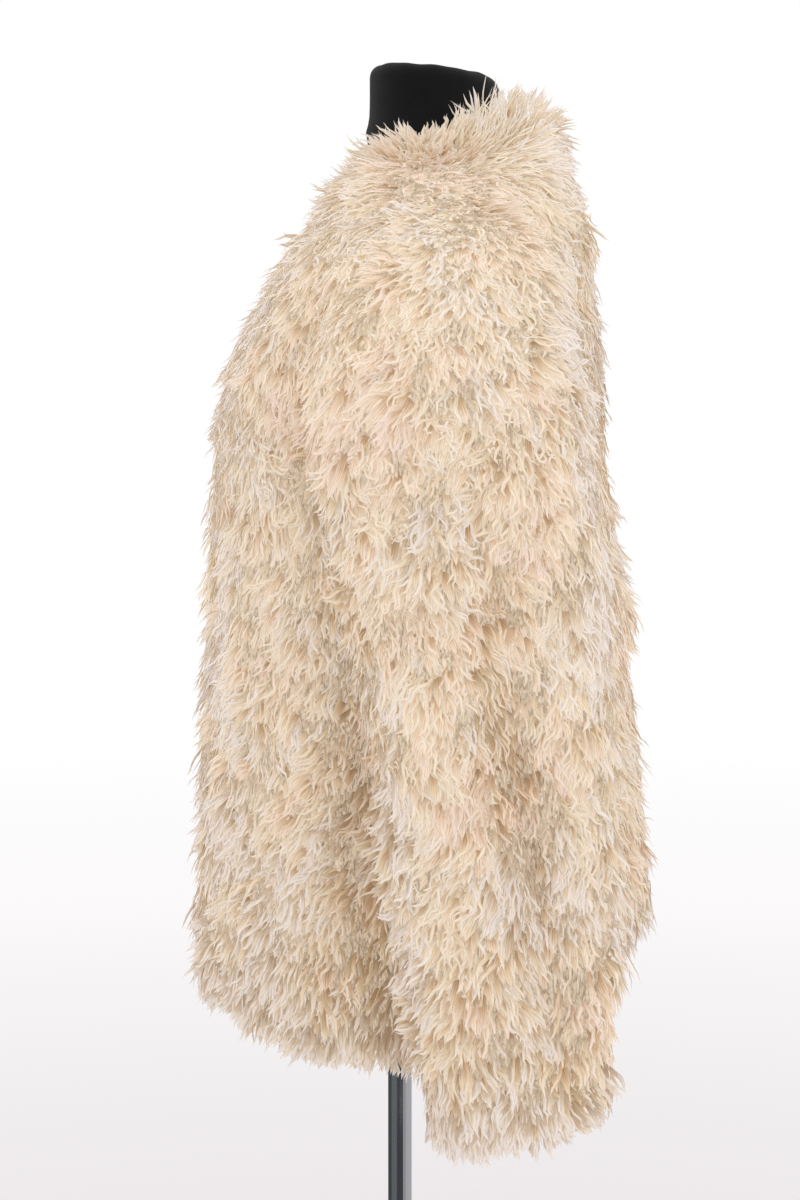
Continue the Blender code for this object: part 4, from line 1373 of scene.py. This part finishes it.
def cut_by(obj, cutters):
    """Applies exact differences, then drops the modifiers."""
    for cutter in cutters:
        modifier = obj.modifiers.new("cut", "BOOLEAN")
        modifier.operation = "DIFFERENCE"
        modifier.solver = "EXACT"
        modifier.object = cutter
    graph = bpy.context.evaluated_depsgraph_get()
    made = bpy.data.meshes.new_from_object(obj.evaluated_get(graph))
    obj.modifiers.clear()
    old = obj.data
    obj.data = made
    bpy.data.meshes.remove(old)


def cutter_mesh(name, rings):
    points, faces = solid_rings(rings)
    mesh = bpy.data.meshes.new(name)
    mesh.from_pydata([tuple(map(float, p)) for p in points], [], faces)
    bm = bmesh.new()
    bm.from_mesh(mesh)
    bmesh.ops.recalc_face_normals(bm, faces=bm.faces)
    if bm.calc_volume(signed=True) < 0:
        bmesh.ops.reverse_faces(bm, faces=bm.faces)
    bm.to_mesh(mesh)
    bm.free()
    obj = bpy.data.objects.new(name, mesh)
    bpy.context.scene.collection.objects.link(obj)
    return obj


def grid_uv(points):
    """Distances along and across a grid of points, in metres."""
    across = np.linalg.norm(np.diff(points, axis=1), axis=-1).mean(axis=0)
    down = np.linalg.norm(np.diff(points, axis=0), axis=-1).mean(axis=1)
    x = np.concatenate([[0], np.cumsum(across)])
    y = np.concatenate([[0], np.cumsum(down)])
    return np.stack(np.meshgrid(x, y), axis=-1)


def body_shell(name, u_from, u_to, steps):
    s = np.concatenate([np.linspace(0, 1, 28), np.linspace(1, 2, 28)[1:]])[:, None]
    gap = 0.00003
    u = np.radians(np.linspace(u_from, u_to, steps + 1))[None, :]
    u = u + np.concatenate([[gap / 0.15], np.zeros(steps - 1), [-gap / 0.15]])[None, :]
    face = body_outer(u, s)
    normal = body_normal(u, s)
    hills = relief_of(face.reshape(-1, 3), normal.reshape(-1, 3)).reshape(face.shape[:2])
    edge = np.minimum(ease(s / 0.05), ease((2 - s) / 0.04)) * np.ones_like(u)
    outer = face - normal * (WOOL_IN + (1 - edge) * 0.004 - hills * edge)[..., None]
    inner = face - normal * BACKING_IN
    return shell_mesh("cloth_" + name, outer, inner, grid_uv(face), False, [wool_mat, backing_mat])


def sleeve_shell(side):
    phi = np.radians(np.arange(0, 360, 7.5))[None, :]
    w = np.linspace(0.0, 1, 62)[:, None]
    face = sleeve_ring(side, phi, w, 0)
    normal = sleeve_normal(side, phi, w)
    hills = relief_of(face.reshape(-1, 3), normal.reshape(-1, 3)).reshape(face.shape[:2])
    edge = ease((1 - w) / 0.04) * np.ones_like(phi)
    outer = sleeve_ring(side, phi, w, WOOL_IN + 0.001) + normal * (hills * edge - (1 - edge) * 0.003)[..., None]
    inner = sleeve_ring(side, phi, w, BACKING_IN)
    return shell_mesh("cloth_sleeve_" + side, outer, inner, grid_uv(face), True, [wool_mat, backing_mat])


shells = {
    "front_left": body_shell("front_left", -90, 0, 30),
    "front_right": body_shell("front_right", 180, 270, 30),
    "back": body_shell("back", 0, 180, 60),
    "sleeve_left": sleeve_shell("left"),
    "sleeve_right": sleeve_shell("right"),
}
cut_u = np.radians(np.arange(0, 360, 5))[None, :]
cut_s = np.concatenate([np.linspace(0, 1, 16), np.linspace(1, 2, 24)[1:]])[:, None]
for side in ("left", "right"):
    shells["sleeve_" + side].visible_shadow = False
hull = cutter_mesh("cutter_body", body_wall(cut_u, cut_s, WOOL_IN - 0.0006))
cut_w = np.linspace(0, 0.37, 14)[:, None]
cut_phi = np.radians(np.arange(0, 360, 10))[None, :]
hollow = {side: cutter_mesh("cutter_" + side, sleeve_ring(side, cut_phi, cut_w, BACKING_IN + 0.0004)) for side in ("left", "right")}
cut_by(shells["front_left"], [hollow["left"]])
cut_by(shells["front_right"], [hollow["right"]])
cut_by(shells["back"], [hollow["left"], hollow["right"]])
cut_by(shells["sleeve_left"], [hull])
cut_by(shells["sleeve_right"], [hull])
for cutter in (hull, *hollow.values()):
    mesh = cutter.data
    bpy.data.objects.remove(cutter, do_unlink=True)
    bpy.data.meshes.remove(mesh)

# -------------------------------------------------------------- pile pieces
body = body_roots()


def part_of(roots, mask):
    return Roots(*(values[mask] for values in roots))


turn_deg = np.degrees(np.arctan2(body.point[:, 1] - NECK_Y, body.point[:, 0]))  # 0 left, 90 back
body_parts = {
    "front_left": (turn_deg >= -90) & (turn_deg < 0),
    "front_right": (turn_deg < -90) | (turn_deg >= 180),
    "back_left": (turn_deg >= 0) & (turn_deg < 90),
    "back_right": (turn_deg >= 90) & (turn_deg < 180),
}
pile = {}
for number, (name, mask) in enumerate(body_parts.items()):
    pile[name] = pile_mesh("pile_" + name, part_of(body, mask), BODY_COMB, 60 + number, True, strand_mat)
for number, side in enumerate(("left", "right")):
    roots = sleeve_roots(side)
    front = roots.point[:, 1] < (0.02 + 0.06 * ease((1.2 - roots.point[:, 2]) / 0.4))
    pile["sleeve_" + side + "_front"] = pile_mesh(
        "pile_sleeve_" + side + "_front", part_of(roots, front), SLEEVE_COMB, 70 + number * 2, False, strand_mat
    )
    pile["sleeve_" + side + "_back"] = pile_mesh(
        "pile_sleeve_" + side + "_back", part_of(roots, ~front), SLEEVE_COMB, 71 + number * 2, False, strand_mat
    )


# --------------------------------------------------------------- dress form
FormRow = namedtuple("FormRow", "z half_width front back")
FORM_ROWS = [
    FormRow(0.765, 0.158, -0.098, 0.118),
    FormRow(0.800, 0.163, -0.101, 0.122),
    FormRow(0.860, 0.165, -0.102, 0.124),
    FormRow(0.920, 0.153, -0.097, 0.117),
    FormRow(0.990, 0.131, -0.090, 0.106),
    FormRow(1.050, 0.143, -0.101, 0.114),
    FormRow(1.100, 0.1675, -0.1155, 0.1305),
]


def form_skin(count):
    """The jersey over the form: the same rings as the solid, only finer."""
    u = np.radians(np.arange(0, 360, 360 / count))
    c, n = np.cos(u), np.sin(u)
    zs = column(FORM_ROWS, "z")
    rings = []

    def oval(z, shrink=0.0):
        wide = smooth_table(zs, column(FORM_ROWS, "half_width"), z)
        front = smooth_table(zs, column(FORM_ROWS, "front"), z)
        rear = smooth_table(zs, column(FORM_ROWS, "back"), z)
        e = 2 / 2.2
        return (wide - shrink) * power(c, e), (front + rear) / 2 + ((rear - front) / 2 - shrink) * power(n, e)

    x, y = oval(FORM_BOTTOM_Z, 0.012)
    hole = 0.011
    for share in (0.0, 0.35, 0.7, 0.9):
        rings.append(np.stack([hole * c * (1 - share) + x * share, hole * n * (1 - share) + y * share, np.full(count, FORM_BOTTOM_Z)], axis=-1))
    for turn in (0, 15, 30, 45, 60, 75, 90):
        a = math.radians(turn)
        x, y = oval(FORM_BOTTOM_Z, 0.012 * (1 - math.sin(a)))
        rings.append(np.stack([x, y, np.full(count, FORM_BOTTOM_Z + 0.012 * (1 - math.cos(a)))], axis=-1))
    for z in np.linspace(FORM_BOTTOM_Z + 0.020, UNDERARM_Z - 0.02, 24):
        x, y = oval(z)
        rings.append(np.stack([x, y, np.full(count, z)], axis=-1))
    for s in (1.0, 1.08, 1.16, 1.23, 1.3, 1.36, 1.42, 1.48, 1.54, 1.60, 1.66, 1.72, 1.78, 1.83, 1.88, 1.92, 1.95, 1.98, 2.0):
        rings.append(body_wall(u, np.full(count, s), WALL + FORM_GAP + 0.0002))
    middle = (NECK_FRONT_Y + NECK_BACK_Y) / 2
    deep = (NECK_BACK_Y - NECK_FRONT_Y) / 2

    def neck(height, shrink):
        y = middle + (deep - shrink) * n
        top = NECK_TOP_FRONT_Z + (NECK_TOP_BACK_Z - NECK_TOP_FRONT_Z) * (y - NECK_FRONT_Y) / (2 * deep)
        return np.stack([(NECK_HALF_WIDTH - shrink) * c, y, top - height], axis=-1)

    for height, shrink in ((0.052, -0.0030), (0.046, -0.0014), (0.040, -0.0004), (0.032, -0.0001), (0.024, 0.0), (0.018, 0.0), (0.014, 0.0)):
        rings.append(neck(height, shrink))
    for turn in (0, 11, 22, 34, 45, 57, 68, 79, 90):
        a = math.radians(turn)
        rings.append(neck(NECK_EDGE * (1 - math.sin(a)), NECK_EDGE * (1 - math.cos(a))))
    for share in (0.015, 0.020, 0.026, 0.034, 0.042):
        rings.append(neck(-0.0006 * min(1.0, (share - NECK_EDGE) / 0.015), share))
    return np.array(rings)


def form_piece():
    rings = form_skin(96)
    # small puckers of the jersey on the neck's top edge
    flat = rings.reshape(-1, 3)
    near = ease((flat[:, 2] - 1.385) / 0.02)
    turn = np.arctan2(flat[:, 1] - NECK_Y, flat[:, 0])
    pucker = 0.0003 * np.sin(turn * 7 + 1.0) * near + 0.0002 * np.sin(turn * 13 + 2.2) * near
    flat[:, 2] += pucker
    points, faces = solid_rings(rings)
    mesh = bpy.data.meshes.new("form_jersey_skin")
    mesh.from_pydata([tuple(map(float, p)) for p in points], [], faces)
    closed = np.concatenate([rings, rings[:, :1]], axis=1)
    grid = grid_uv(closed)
    layer = mesh.uv_layers.new(name="cloth")
    cols = rings.shape[1]
    size = rings.shape[0] * cols
    for poly in mesh.polygons:
        wraps = any(mesh.loops[i].vertex_index < size and mesh.loops[i].vertex_index % cols == 0 for i in poly.loop_indices) and any(
            mesh.loops[i].vertex_index < size and mesh.loops[i].vertex_index % cols == cols - 1 for i in poly.loop_indices
        )
        for i in poly.loop_indices:
            v = mesh.loops[i].vertex_index
            if v >= size:
                layer.data[i].uv = grid[0 if v == size else -1, 0]
                continue
            row, col = divmod(v, cols)
            if wraps and col == 0:
                col = cols
            layer.data[i].uv = grid[row, col]
    bm = bmesh.new()
    bm.from_mesh(mesh)
    bmesh.ops.recalc_face_normals(bm, faces=bm.faces)
    bm.to_mesh(mesh)
    bm.free()
    mesh.shade_smooth()
    mesh.materials.append(jersey_mat)
    obj = bpy.data.objects.new("form_jersey_skin", mesh)
    bpy.context.scene.collection.objects.link(obj)
    return obj


form = form_piece()
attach(form, "root")
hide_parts("form_torso")

for name, mat in (("stand_pole", chrome_mat), ("stand_base", steel_mat), ("form_socket", plastic_mat)):
    data = nodes[name].data
    if not data.materials:
        data.materials.append(mat)
    for i in range(len(nodes[name].material_slots)):
        nodes[name].material_slots[i].material = mat

# ------------------------------------------------------- ride
PILE_OF = {
    "front_left": ["front_left"],
    "front_right": ["front_right"],
    "back": ["back_left", "back_right"],
    "sleeve_left": ["sleeve_left_front", "sleeve_left_back"],
    "sleeve_right": ["sleeve_right_front", "sleeve_right_back"],
}
Cut = namedtuple("Cut", "width length area")
for name, shell in shells.items():
    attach(shell, "root")
    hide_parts(name)
    for key in PILE_OF[name]:
        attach(pile[key], "root")

# ------------------------------------------------------------------- stage


def flat_material(name, colour, light=0.0):
    mat, tree, shader = new_material(name)
    shader.inputs["Base Color"].default_value = (*colour, 1.0)
    shader.inputs["Roughness"].default_value = 0.9
    if light:
        shader.inputs["Base Color"].default_value = (0, 0, 0, 1)
        shader.inputs["Emission Color"].default_value = (*colour, 1.0)
        shader.inputs["Emission Strength"].default_value = light
    return mat


def disc(name, inner, outer, rings, steps, z, mat, first=0.0, last=360.0):
    """A flat ring, or a sector of one, round the stand."""
    whole = last - first >= 359.9
    angles = np.radians(np.linspace(first, last, steps + 1)[: steps if whole else steps + 1])
    radii = np.linspace(0, 1, rings + 1) ** 2 * (outer - inner) + inner
    points = [(r * math.cos(a), r * math.sin(a), z) for r in radii for a in angles]
    n = len(angles)
    faces = []
    for i in range(rings):
        for j in range(n if whole else n - 1):
            k = (j + 1) % n
            faces.append((i * n + j, (i + 1) * n + j, (i + 1) * n + k, i * n + k))
    if whole and inner > 0:
        faces.append(tuple(reversed(range(n))))
    mesh = bpy.data.meshes.new(name)
    mesh.from_pydata(points, [], faces)
    mesh.materials.append(mat)
    obj = bpy.data.objects.new(name, mesh)
    bpy.context.scene.collection.objects.link(obj)
    return obj


def floor_material():
    """Pale studio floor that turns into the white of the backdrop far out."""
    mat, tree, shader = new_material("studio_floor")
    link = tree.links.new
    place = tree.nodes.new("ShaderNodeTexCoord")
    flat = add(tree, "ShaderNodeVectorMath", operation="MULTIPLY")
    flat.inputs[1].default_value = (1.0, 1.0, 0.0)
    link(place.outputs["Object"], flat.inputs[0])
    far = add(tree, "ShaderNodeVectorMath", operation="LENGTH")
    link(flat.outputs[0], far.inputs[0])
    blend = add(tree, "ShaderNodeMapRange")
    blend.inputs["From Min"].default_value = 0.9
    blend.inputs["From Max"].default_value = 6.5
    link(far.outputs["Value"], blend.inputs["Value"])
    glow = ramp(tree, [(0.0, (0.800, 0.765, 0.775)), (0.10, (0.850, 0.820, 0.830)), (0.42, (0.965, 0.945, 0.952)), (0.8, (1.0, 1.0, 1.0))])
    link(blend.outputs["Result"], glow.inputs["Fac"])
    light = tree.nodes.new("ShaderNodeEmission")
    link(glow.outputs["Color"], light.inputs["Color"])
    shade = tree.nodes.new("ShaderNodeBsdfDiffuse")
    shade.inputs["Color"].default_value = (0.70, 0.67, 0.68, 1.0)
    near = add(tree, "ShaderNodeMapRange", interpolation_type="SMOOTHSTEP")
    near.inputs["From Min"].default_value = 0.35
    near.inputs["From Max"].default_value = 1.35
    link(far.outputs["Value"], near.inputs["Value"])
    mixed = tree.nodes.new("ShaderNodeMixShader")
    link(near.outputs["Result"], mixed.inputs["Fac"])
    link(shade.outputs[0], mixed.inputs[1])
    link(light.outputs[0], mixed.inputs[2])
    link(mixed.outputs[0], tree.nodes["Material Output"].inputs["Surface"])
    return mat


floor = disc("studio_floor", 0.05, 60.0, 60, 72, 0.0, floor_material())

# What the polished pole mirrors: the darker studio in front of the coat.
# These lie on the floor and are seen by mirror rays only.
for first, last, colour, name in (
    (-172, -80, (0.029, 0.035, 0.038), "mirror_far_front"),
    (-80, -22, (0.104, 0.120, 0.126), "mirror_front"),
    (-22, 18, (0.022, 0.024, 0.028), "mirror_middle"),
    (18, 60, (0.345, 0.337, 0.347), "mirror_back"),
    (60, 165, (0.480, 0.465, 0.480), "mirror_far_back"),
):
    sheet = disc(name, 0.75, 5.0, 6, 12, 0.0015, flat_material(name, colour, 1.0), first, last)
    sheet.visible_camera = False
    sheet.visible_diffuse = False
    sheet.visible_shadow = False
    sheet.visible_transmission = False
    sheet.visible_volume_scatter = False

scene = bpy.context.scene
world = bpy.data.worlds.new("studio_white")
scene.world = world
world.use_nodes = True
world.node_tree.nodes["Background"].inputs["Color"].default_value = (1.0, 1.0, 1.0, 1.0)
world.node_tree.nodes["Background"].inputs["Strength"].default_value = 1.0
scene.view_settings.view_transform = "Standard"
scene.view_settings.look = "None"
scene.view_settings.exposure = 0.0
scene.view_settings.gamma = 1.0


def softbox(name, place, target, size, power_w, colour=(1.0, 1.0, 1.0)):
    data = bpy.data.lights.new(name, "AREA")
    data.shape = "RECTANGLE"
    data.size, data.size_y = size
    data.energy = power_w
    data.color = colour
    obj = bpy.data.objects.new(name, data)
    bpy.context.scene.collection.objects.link(obj)
    obj.location = place
    obj.rotation_mode = "QUATERNION"
    obj.rotation_quaternion = (Vector(target) - Vector(place)).to_track_quat("-Z", "Y")
    obj.visible_camera = False
    obj.visible_glossy = False
    return obj


softbox("key", (2.0, -1.6, 2.3), (0.1, 0.0, 1.1), (2.4, 2.4), 10.6)
softbox("fill", (2.0, 1.8, 1.7), (0.1, 0.02, 1.0), (2.4, 2.4), 7.8)
softbox("far_key", (-2.2, -1.2, 2.3), (-0.1, 0.02, 1.0), (2.4, 2.4), 11.2)
softbox("top", (0.2, 0.0, 3.2), (0.05, 0.0, 1.2), (2.4, 2.4), 5.6)
softbox("front", (0.5, -2.7, 1.0), (0.05, -0.1, 0.95), (2.0, 2.0), 3.0)
softbox("rear", (0.5, 2.8, 1.0), (0.05, 0.1, 0.95), (2.0, 2.0), 4.2)
softbox("far_fill", (-1.8, 2.0, 1.8), (-0.1, 0.05, 1.0), (2.4, 2.4), 6.5)

camera_data = bpy.data.cameras.new("view")
camera = bpy.data.objects.new("view", camera_data)
scene.collection.objects.link(camera)
camera_data.sensor_fit = "VERTICAL"
camera_data.sensor_height = 36.0
camera_data.lens = 69.24
camera_data.clip_start, camera_data.clip_end = 0.05, 200.0
camera_data.dof.use_dof = False
camera.location = (1.80, 0.0, 1.182)
camera.rotation_mode = "QUATERNION"
camera.rotation_quaternion = Vector((-2308.0, 0.0, -230.0)).to_track_quat("-Z", "Y")
scene.camera = camera
